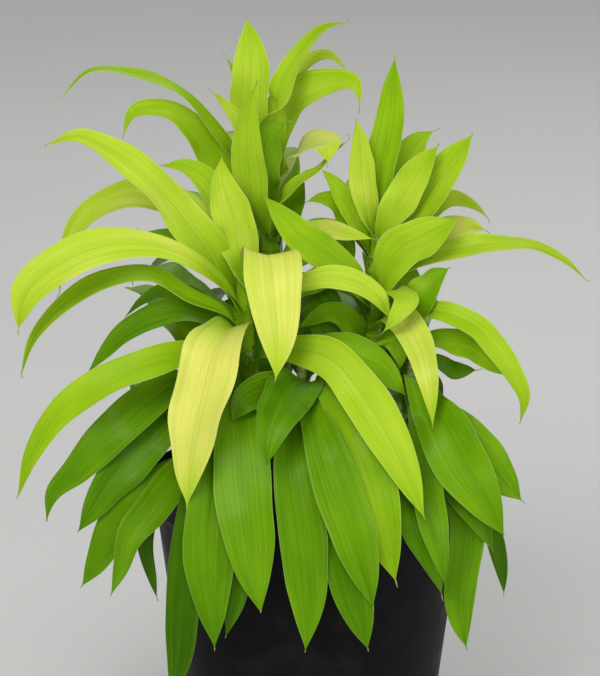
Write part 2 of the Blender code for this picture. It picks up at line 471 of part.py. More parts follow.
def side_of(first, second, row):
    """1 where the first blade lies above the second near the row where they meet, else -1."""
    total = 0.0
    for near in range(max(0, row - 2), min(BLADE_ROWS, row + 3)):
        point = first["centres"][near]
        other = int(np.argmin(np.linalg.norm(second["centres"] - point, axis=1)))
        total += float(np.dot(point - second["centres"][other], second["normals"][other]))
    return 1.0 if total >= 0.0 else -1.0


def gather_faces(leaves):
    """Triangles of all thick blades and of the obstacles, with the owner and row of each."""
    one_faces, one_rows = fat_faces()
    corners = BLADE_ROWS * 6
    faces, owners, rows = [], [], []
    for number in range(len(leaves)):
        faces += [tuple(c + number * corners for c in face) for face in one_faces]
        owners += [number] * len(one_faces)
        rows += one_rows
    fixed_points, fixed_names = [], []
    for name, points, fixed_faces in obstacles():
        start = len(leaves) * corners + len(fixed_points)
        fixed_names.append(name)
        fixed_points += [point.tolist() for point in points]
        faces += [tuple(c + start for c in face) for face in fixed_faces]
        owners += [-len(fixed_names)] * len(fixed_faces)
        rows += [0] * len(fixed_faces)
    return faces, owners, rows, fixed_points, fixed_names


def push_from_obstacle(push, leaves, number, row, name):
    """Push a leaf's row off an obstacle, unless its root grows there."""
    leaf = leaves[number]
    if name != leaf["cane"] or row > OWN_ROOT_ROWS:
        middle = (leaf["centres"][row] + leaf["centres"][row + 1]) / 2
        push[number, row:row + 2] += away_from(name, middle)


def push_apart(push, leaves, pair, rows, above):
    """Push two leaves apart where they meet, except near a root that they share."""
    first, second = (leaves[number] for number in pair)
    if first["cane"] == second["cane"] and min(rows) < OWN_ROOT_ROWS:
        return
    if pair not in above:
        above[pair] = side_of(first, second, rows[0])
    away = second["normals"][rows[1]] * above[pair]
    push[pair[0], rows[0]:rows[0] + 2] += away
    push[pair[1], rows[1]:rows[1] + 2] -= away


def spread_push(push):
    """Pushes shared with the rows beside them, and cut to one stride."""
    push = push / np.maximum(np.linalg.norm(push, axis=2, keepdims=True), 1.0)
    for _pass in range(2):
        padded = np.concatenate((push[:, :1], push, push[:, -1:]), axis=1)
        push = 0.25 * padded[:, :-2] + 0.5 * push + 0.25 * padded[:, 2:]
    size = np.maximum(np.linalg.norm(push, axis=2, keepdims=True), 1e-6)
    return push * SETTLE_STRIDE * np.minimum(1.0, size * 3.0) / size


def settle(leaves):
    """Bend the leaves apart where they meet each other, a cane or the pot, roots held fast."""
    faces, owners, face_rows, fixed_points, fixed_names = gather_faces(leaves)
    hold = np.clip((np.arange(BLADE_ROWS) - HELD_ROWS) / LOOSENING_ROWS, 0.0, 1.0)[:, None]
    above = {}
    for _step in range(SETTLE_STEPS):
        points = [point for leaf in leaves for point in fat_blade(leaf).tolist()]
        tree = BVHTree.FromPolygons(points + fixed_points, faces, all_triangles=True)
        push = np.zeros((len(leaves), BLADE_ROWS, 3))
        for face_a, face_b in tree.overlap(tree):
            a, b = owners[face_a], owners[face_b]
            if a < 0 or a == b or (b >= 0 and a > b):
                continue
            if b < 0:
                push_from_obstacle(push, leaves, a, face_rows[face_a], fixed_names[-1 - b])
            else:
                push_apart(push, leaves, (a, b), (face_rows[face_a], face_rows[face_b]), above)
        if not push.any():
            break
        for leaf, stride in zip(leaves, spread_push(push)):
            leaf["centres"] = leaf["centres"] + stride * hold


def new_collection(name):
    """Collection of the given name in the scene."""
    group = bpy.data.collections.new(name)
    bpy.context.scene.collection.children.link(group)
    return group


def new_material(name, colour, roughness):
    """Principled material of a plain colour."""
    material = bpy.data.materials.new(name)
    material.use_nodes = True
    shader = material.node_tree.nodes["Principled BSDF"]
    shader.inputs["Base Color"].default_value = (*colour, 1.0)
    shader.inputs["Roughness"].default_value = roughness
    shader.inputs["Metallic"].default_value = 0.0
    return material


def turned_piece(name, profile, group):
    """Closed turned solid from a profile that runs down its outer side."""
    mesh = bpy.data.meshes.new(name)
    mesh.from_pydata([(r, 0.0, z) for r, z in profile], [(k, k + 1) for k in range(len(profile) - 1)], [])
    piece = bpy.data.objects.new(name, mesh)
    group.objects.link(piece)
    screw = piece.modifiers.new("turn", "SCREW")
    screw.axis = "Z"
    screw.steps = POT_STEPS
    screw.render_steps = POT_STEPS
    screw.use_merge_vertices = True
    screw.merge_threshold = 0.0001
    screw.use_smooth_shade = False
    return piece


def freeze(piece):
    """Apply a piece's modifiers by taking its evaluated mesh."""
    bpy.context.view_layer.update()
    evaluated = piece.evaluated_get(bpy.context.evaluated_depsgraph_get())
    mesh = bpy.data.meshes.new_from_object(evaluated)
    piece.modifiers.clear()
    old = piece.data
    piece.data = mesh
    mesh.name = piece.name
    bpy.data.meshes.remove(old)


def cutter_cylinder(name, centre, radius, depth, group):
    """Upright cylinder that cuts and is not itself a part."""
    mesh = bpy.data.meshes.new(name)
    shape = bmesh.new()
    bmesh.ops.create_cone(shape, cap_ends=True, segments=HOLE_SIDES, radius1=radius, radius2=radius,
                          depth=depth)
    shape.to_mesh(mesh)
    shape.free()
    piece = bpy.data.objects.new(name, mesh)
    piece.location = centre
    piece.hide_render = True
    piece.display_type = "WIRE"
    group.objects.link(piece)
    return piece


def cut(piece, cutters):
    """Cut every cutter out of a piece."""
    for cutter in cutters:
        boolean = piece.modifiers.new(cutter.name, "BOOLEAN")
        boolean.operation = "DIFFERENCE"
        boolean.object = cutter
    freeze(piece)


def wall_radius(z):
    """Outer radius of the pot's wall below its collar."""
    return BASE_RADIUS + (COLLAR_RADIUS - BASE_RADIUS) * z / COLLAR_BOTTOM


def make_pot(group, cutters):
    """Nursery pot: tapered wall, stepped collar and rim, flat floor with a ring of drain holes."""
    inner = RIM_RADIUS - WALL
    profile = (
        (0.0, FLOOR_THICKNESS),
        (wall_radius(FLOOR_THICKNESS) - WALL, FLOOR_THICKNESS),
        (wall_radius(COLLAR_BOTTOM) - WALL, COLLAR_BOTTOM),
        (inner - 0.001, COLLAR_BOTTOM + 2 * WALL),
        (inner, POT_HEIGHT - ROLL),
        (inner + 0.001, POT_HEIGHT),
        (RIM_RADIUS + 0.001, POT_HEIGHT),
        (RIM_RADIUS + ROLL, POT_HEIGHT - ROLL),
        (RIM_RADIUS + ROLL, POT_HEIGHT - 3 * ROLL),
        (RIM_RADIUS, POT_HEIGHT - 4 * ROLL),
        (RIM_RADIUS - 0.001, COLLAR_BOTTOM),
        (wall_radius(COLLAR_BOTTOM - ROLL), COLLAR_BOTTOM - ROLL),
        (wall_radius(FOOT_BEVEL), FOOT_BEVEL),
        (BASE_RADIUS - FOOT_BEVEL, 0.0),
        (0.0, 0.0),
    )
    pot = turned_piece("pot", profile, group)
    drains = []
    for hole in range(DRAIN_HOLES):
        turn = 2 * math.pi * (hole + 0.5) / DRAIN_HOLES
        centre = (DRAIN_CIRCLE * math.cos(turn), DRAIN_CIRCLE * math.sin(turn), 0.0)
        drains.append(cutter_cylinder(f"drain_{hole + 1}", centre, DRAIN_RADIUS, 8 * FLOOR_THICKNESS, cutters))
    cut(pot, drains)
    pot.data.materials.append(new_material("pot_plastic", (0.012, 0.012, 0.013), 0.55))
    return pot


def lump(x, y):
    """Rise and fall of the potting mix's surface."""
    return SOIL_LUMP * (math.sin(x * 210 + 1.0) * math.cos(y * 190) + 0.6 * math.sin(x * 90 - y * 140))


def make_potting_mix(group, cutters):
    """Potting mix down to the pot's floor, mounded and lumpy on top, with a hole for each cane."""
    shoulder = wall_radius(COLLAR_BOTTOM) - WALL - MIX_ROOM
    foot = wall_radius(FLOOR_THICKNESS) - WALL - MIX_ROOM
    edge = RIM_RADIUS - WALL - RIM_ROOM
    profile = [(0.0, SOIL_HEIGHT + MOUND)]
    for share in MOUND_RINGS:
        profile.append((edge * share, SOIL_HEIGHT + MOUND * (1 - share ** 3)))
    profile += [
        (edge, SOIL_HEIGHT),
        (edge, COLLAR_BOTTOM + 0.007),
        (shoulder, COLLAR_BOTTOM + 0.001),
        (foot, FLOOR_THICKNESS + FIT_GAP),
        (0.0, FLOOR_THICKNESS + FIT_GAP),
    ]
    mix = turned_piece("potting_mix", profile, group)
    freeze(mix)
    for vertex in mix.data.vertices:
        if vertex.co.z > SOIL_HEIGHT + 0.0005:
            vertex.co.z += lump(vertex.co.x, vertex.co.y)
    holes = []
    for cane, ((across, out), _top, _lowest, radius) in CANES.items():
        centre = (across * CM, -out * CM, SOIL_HEIGHT - FIT_GAP)
        hole_radius = (radius * CM + HOLE_ROOM) / math.cos(math.pi / HOLE_SIDES)
        holes.append(cutter_cylinder(f"hole_{cane}", centre, hole_radius, 2 * CANE_DEPTH, cutters))
    cut(mix, holes)
    mix.data.materials.append(new_material("potting_mix", (0.10, 0.055, 0.03), 0.95))
    return mix


def tube(name, points, radii, group, resolution):
    """Round tube of varying radius along the points, as a welded mesh."""
    curve = bpy.data.curves.new(name, "CURVE")
    curve.dimensions = "3D"
    curve.bevel_depth = 1.0
    curve.bevel_resolution = resolution
    curve.use_fill_caps = True
    spline = curve.splines.new("POLY")
    spline.points.add(len(points) - 1)
    for place, point, radius in zip(spline.points, points, radii):
        place.co = (*point, 1.0)
        place.radius = radius
    guide = bpy.data.objects.new(name + "_line", curve)
    group.objects.link(guide)
    bpy.context.view_layer.update()
    evaluated = guide.evaluated_get(bpy.context.evaluated_depsgraph_get())
    mesh = bpy.data.meshes.new_from_object(evaluated)
    shape = bmesh.new()
    shape.from_mesh(mesh)
    bmesh.ops.remove_doubles(shape, verts=shape.verts, dist=0.00005)
    bmesh.ops.recalc_face_normals(shape, faces=shape.faces)
    shape.to_mesh(mesh)
    shape.free()
    bpy.data.objects.remove(guide)
    mesh.name = name
    piece = bpy.data.objects.new(name, mesh)
    group.objects.link(piece)
    return piece


def cane_rises(cane):
    """Heights of a woody cane's rings in cm above SIGHT_LEVEL, from its foot to its green shoot."""
    foot = (SOIL_HEIGHT - CANE_DEPTH - SIGHT_LEVEL) / CM
    lowest = CANES[cane][2]
    return [foot, foot / 2, -1.2] + list(np.linspace(-0.4, lowest, int(lowest) + 2))


def make_cane(cane, group, bark):
    """Woody cane: upright in its hole, slightly ringed, up to the foot of its green shoot."""
    radius = CANES[cane][3] * CM
    points = [cane_axis(cane, rise) for rise in cane_rises(cane)]
    radii = [radius * (1.0 if number % 2 else SCAR_NECK) for number in range(len(points))]
    points[-1] = np.array((points[-2][0], points[-2][1], points[-1][2]))
    piece = tube("cane_" + cane, points, radii, group, 3)
    piece.data.materials.append(bark)
    return piece


def make_blade(name, leaf, group):
    """One leaf: a grid laid along its midrib, alike triangles on both faces, given its thickness."""
    mesh = bpy.data.meshes.new(name)
    shape = bmesh.new()
    bmesh.ops.create_grid(shape, x_segments=BLADE_COLUMNS, y_segments=BLADE_ROWS - 1, size=1.0)
    for vertex in shape.verts:
        row = round((vertex.co.y + 1.0) / 2.0 * (BLADE_ROWS - 1))
        vertex.co = Vector(blade_point(leaf, row, vertex.co.x))
    bmesh.ops.remove_doubles(shape, verts=shape.verts, dist=0.00001)
    bmesh.ops.triangulate(shape, faces=shape.faces)
    shape.to_mesh(mesh)
    shape.free()
    blade = bpy.data.objects.new(name, mesh)
    group.objects.link(blade)
    solid = blade.modifiers.new("thickness", "SOLIDIFY")
    solid.thickness = BLADE_THICKNESS
    solid.offset = 0.0
    freeze(blade)
    return blade


def keep_largest(piece):
    """Drop sealed hollows and loose scraps that fusing leaves beside the main body."""
    shape = bmesh.new()
    shape.from_mesh(piece.data)
    bmesh.ops.triangulate(shape, faces=shape.faces)
    left = set(shape.faces)
    bodies = []
    while left:
        stack = [left.pop()]
        body = []
        while stack:
            face = stack.pop()
            body.append(face)
            for edge in face.edges:
                for other in edge.link_faces:
                    if other in left:
                        left.remove(other)
                        stack.append(other)
        bodies.append(body)
    bodies.sort(key=len)
    scraps = [face for body in bodies[:-1] for face in body]
    bmesh.ops.delete(shape, geom=scraps, context="FACES")
    shape.to_mesh(piece.data)
    shape.free()


def make_stem(cane, group):
    """Short green stem that stands on the woody cane and thins towards its top."""
    _foot, (_across, _out, top), lowest, radius = CANES[cane]
    below = cane_axis(cane, cane_rises(cane)[-2])
    points = [cane_axis(cane, rise) for rise in np.linspace(lowest, top + STEM_TOP, STEM_RINGS)]
    points[0] = np.array((below[0], below[1], points[0][2] + FIT_GAP))
    points.insert(1, points[0] + np.array((0.0, 0.0, 0.003)))
    radii = [radius * CM * (1.0 - STEM_TAPER * ring / STEM_RINGS) for ring in range(len(points))]
    return tube("leaves_" + cane, points, radii, group, 2)


def make_shoot(cane, leaves, group, green):
    """Green shoot of a cane: its short stem and all of its leaves, fused into one body."""
    stem = make_stem(cane, group)
    blades = new_collection("blades_" + cane)
    for number, leaf in enumerate(leaves):
        make_blade(f"blade_{cane}_{number}", leaf, blades)
    union = stem.modifiers.new("fuse", "BOOLEAN")
    union.operation = "UNION"
    union.solver = "MANIFOLD"
    union.operand_type = "COLLECTION"
    union.collection = blades
    freeze(stem)
    for blade in list(blades.objects):
        mesh = blade.data
        bpy.data.objects.remove(blade)
        bpy.data.meshes.remove(mesh)
    bpy.data.collections.remove(blades)
    keep_largest(stem)
    stem.data.materials.clear()
    stem.data.materials.append(green)
    return stem


def main():
    """Build every piece into one collection."""
    for old in list(bpy.data.objects):
        bpy.data.objects.remove(old)
    group = new_collection("potted_limelight_dracaena")
    cutters = new_collection("cutters")
    make_pot(group, cutters)
    make_potting_mix(group, cutters)
    bark = new_material("cane_bark", (0.30, 0.27, 0.13), 0.7)
    leaves = all_leaves()
    settle(leaves)
    for cane in CANES:
        make_cane(cane, group, bark)
        green = new_material("leaf_green_" + cane, (0.25, 0.42, 0.04), 0.4)
        make_shoot(cane, [leaf for leaf in leaves if leaf["cane"] == cane], group, green)


main()
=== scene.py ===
"""Dresses the potted limelight dracaena: lime leaves, ringed canes, potting mix and nursery pot."""

import math
import random

import bpy
import numpy as np
from mathutils import Euler, Matrix, Vector
from mathutils.bvhtree import BVHTree

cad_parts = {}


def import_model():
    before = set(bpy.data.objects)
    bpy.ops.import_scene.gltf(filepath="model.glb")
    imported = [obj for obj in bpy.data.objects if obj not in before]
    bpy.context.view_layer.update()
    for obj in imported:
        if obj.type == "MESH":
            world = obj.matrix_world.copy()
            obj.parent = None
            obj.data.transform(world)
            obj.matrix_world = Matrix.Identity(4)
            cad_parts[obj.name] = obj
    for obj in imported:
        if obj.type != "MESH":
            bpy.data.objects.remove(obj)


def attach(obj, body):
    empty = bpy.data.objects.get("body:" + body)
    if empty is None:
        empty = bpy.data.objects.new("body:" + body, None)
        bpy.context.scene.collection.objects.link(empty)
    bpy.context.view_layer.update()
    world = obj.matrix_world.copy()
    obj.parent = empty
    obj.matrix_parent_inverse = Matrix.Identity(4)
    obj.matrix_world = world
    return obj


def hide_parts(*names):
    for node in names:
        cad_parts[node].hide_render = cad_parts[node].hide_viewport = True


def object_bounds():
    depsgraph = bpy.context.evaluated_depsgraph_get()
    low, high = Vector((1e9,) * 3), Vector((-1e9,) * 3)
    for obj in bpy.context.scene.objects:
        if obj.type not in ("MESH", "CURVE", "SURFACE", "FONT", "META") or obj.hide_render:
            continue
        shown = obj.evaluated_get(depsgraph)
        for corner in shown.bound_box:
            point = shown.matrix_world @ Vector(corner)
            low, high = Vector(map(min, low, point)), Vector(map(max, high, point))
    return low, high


# Pot, in metres
RIM_RADIUS = 0.160
ROLL = 0.002
COLLAR_RADIUS = 0.154
COLLAR_BOTTOM = 0.246
BASE_RADIUS = 0.120
POT_HEIGHT = 0.280
WALL = 0.003
FLOOR_THICKNESS = 0.004
DRAIN_HOLES = 6
DRAIN_RADIUS = 0.011
DRAIN_CIRCLE = 0.092

# Fine profile of the pot: (height, distance inside BASE_RADIUS) up its foot, (height above
# COLLAR_BOTTOM, radius) up its collar, its rolled rim, and its neck and heel inside
FLOOR_MIDDLE = 0.070
FOOT_STEPS = ((0.0018, 0.016), (0.0, 0.012), (0.0, 0.005), (0.0012, 0.0015))
FOOT_TOP = 0.006
WALL_START = 0.016
WALL_END = COLLAR_BOTTOM - 0.010
WALL_RINGS = 12
COLLAR_STEPS = ((-0.0005, COLLAR_RADIUS + 0.0006), (0.0, RIM_RADIUS - 0.0022), (0.0015, RIM_RADIUS - 0.001),
                (POT_HEIGHT - COLLAR_BOTTOM - 0.0095, RIM_RADIUS - 0.0002))
COLLAR_EASE = 0.002
ROLL_HEIGHT = 0.0042
ROLL_WIDTH = 0.0025
ROLL_TURNS = (-75.0, 180.0, 12)
ROLL_INSET = 0.0005
ROLL_BOTTOM = 0.009
NECK = (0.006, 0.001)
HEEL_RISE = 0.004
HEEL_INSET = 0.003
DRILL_SIDES = 24
DRILL_DEPTH = 0.03

# Potting mix, with room for it inside the pot; its crumbs as (size, strength) of two layers
FIT_GAP = 0.0003
MIX_ROOM = 0.0011
RIM_ROOM = 0.0025
SOIL_HEIGHT = 0.258
SHOULDER = (0.001, 0.007)
EDGE_DROP = 0.001
LEVEL_EDGE = 0.0004
MOUND = 0.006
MOUND_SHARES = (0.985, 0.02, 46)
MIX_LUMPS = ((0.020, 0.006), (0.006, 0.005))
CANE_DEPTH = 0.110

# Loose crumbs strewn on the potting mix: piece, size of the block, its shape, how many, sizes and
# lean of the copies, material, colours from dark to light, and scale of the fibre
STREWN = (
    ("bark_chips", 0.010, (1.0, 0.55, 0.28), 260, (0.5, 1.5), 0.5, "bark_chip",
     ((0.0, (0.035, 0.017, 0.009)), (0.5, (0.13, 0.062, 0.028)), (1.0, (0.34, 0.20, 0.10))), 300.0),
    ("pale_specks", 0.005, (1.0, 0.9, 0.8), 110, (0.5, 1.2), 1.5, "pale_speck",
     ((0.0, (0.42, 0.36, 0.26)), (1.0, (0.78, 0.74, 0.66))), 500.0),
)
PEAT = ((0.0, (0.012, 0.007, 0.004)), (0.5, (0.055, 0.028, 0.014)), (1.0, (0.16, 0.09, 0.045)))
PEAT_SCALE = 260.0
CANE_BERTH = 0.013
RIM_BERTH = 0.014
CRUMB_LIFT = 0.0025
CRUMB_ROUGHNESS = 0.16
CRUMB_SEED = 3
ANY_TURN = 6.28

# Foliage
CM = 0.01
LEAST_LENGTH = 1e-9
SIGHT_TILT = math.radians(15.0)
SIGHT_LEVEL = 0.270
BLADE_ROWS = 8
CURVE_STEPS = 14
ROOT_DEPTH = 0.5
STEM_TAPER = 0.35
STEM_TOP = 1.2
GOLDEN_TURN = 0.38197
SEED = 41

# Cross-section of a blade: a trough that opens out from the root, and a slow wave along its edges
TROUGH_AT_ROOT = 0.75
TROUGH_OPENS = 0.62
TROUGH_REACH = 0.45
WAVE_HEIGHT = 0.10
WAVE_TURNS = 13.0

# How a blade turns to the front: over which share of it, how soon, and the widest turn made
TURN_EASE = 0.3
AIM_EASE = 2.0
WIDEST_TURN = 2.6

# How leaves that meet bend apart: room between them, steps, and rows at the root that hold fast
SETTLE_GAP = 0.005
SETTLE_STEPS = 90
SETTLE_STRIDE = 0.0016
HELD_ROWS = 0.5
LOOSENING_ROWS = 2.5
OWN_ROOT_ROWS = 2
NEAR_ROWS = 2
SPREAD_PASSES = 2
FULL_STRIDE = 3.0
SHARED_PUSH = 0.25
LEAST_PUSH = 1e-6

# What leaves settle against: sleeves round the canes, the pot and the soil
SLEEVE_SWELL = 1.15
SLEEVE_FOOT = -1.0
SLEEVE_RINGS = 6
SLEEVE_SIDES = 6
POT_SIDES = 32
SOIL_SIDES = 24
POT_BERTH = 0.001
BRIM_BERTH = 0.003
SOIL_BERTH = 0.002
LIFT_OVER_RIM = 0.9
LIFT_FROM = COLLAR_BOTTOM - 0.01

# Width of a blade from root to tip, as shares of its greatest width, which is at WIDEST
BLADE_OUTLINE = ((0.0, 0.26), (0.12, 0.34), (0.28, 0.52), (0.45, 0.82), (0.58, 0.97), (0.66, 1.0),
                 (0.78, 0.90), (0.885, 0.62), (0.945, 0.36), (1.0, 0.0))
WIDEST = 0.66

# Canes: foot (across, out), top (across, out, rise), lowest leaf's rise, radius; all in cm.
# Across is to the right of the pot's axis, out is in front of it, rise is above SIGHT_LEVEL.
CANES = {
    "left": ((-5.2, 3.2), (-6.7, 4.6, 21.5), 1.0, 0.85),
    "back": ((-2.0, -5.5), (-4.0, -4.2, 27.0), 1.0, 0.90),
    "right": ((5.6, -0.8), (6.6, 1.2, 24.5), 5.0, 0.85),
    "front": ((-0.6, 7.4), (-0.8, 6.6, 13.0), 1.0, 0.75),
    "low_right": ((9.6, 2.6), (10.2, 3.6, 16.5), 1.0, 0.75),
    "low_left": ((-10.0, 0.4), (-11.2, 1.6, 12.5), 1.0, 0.75),
}

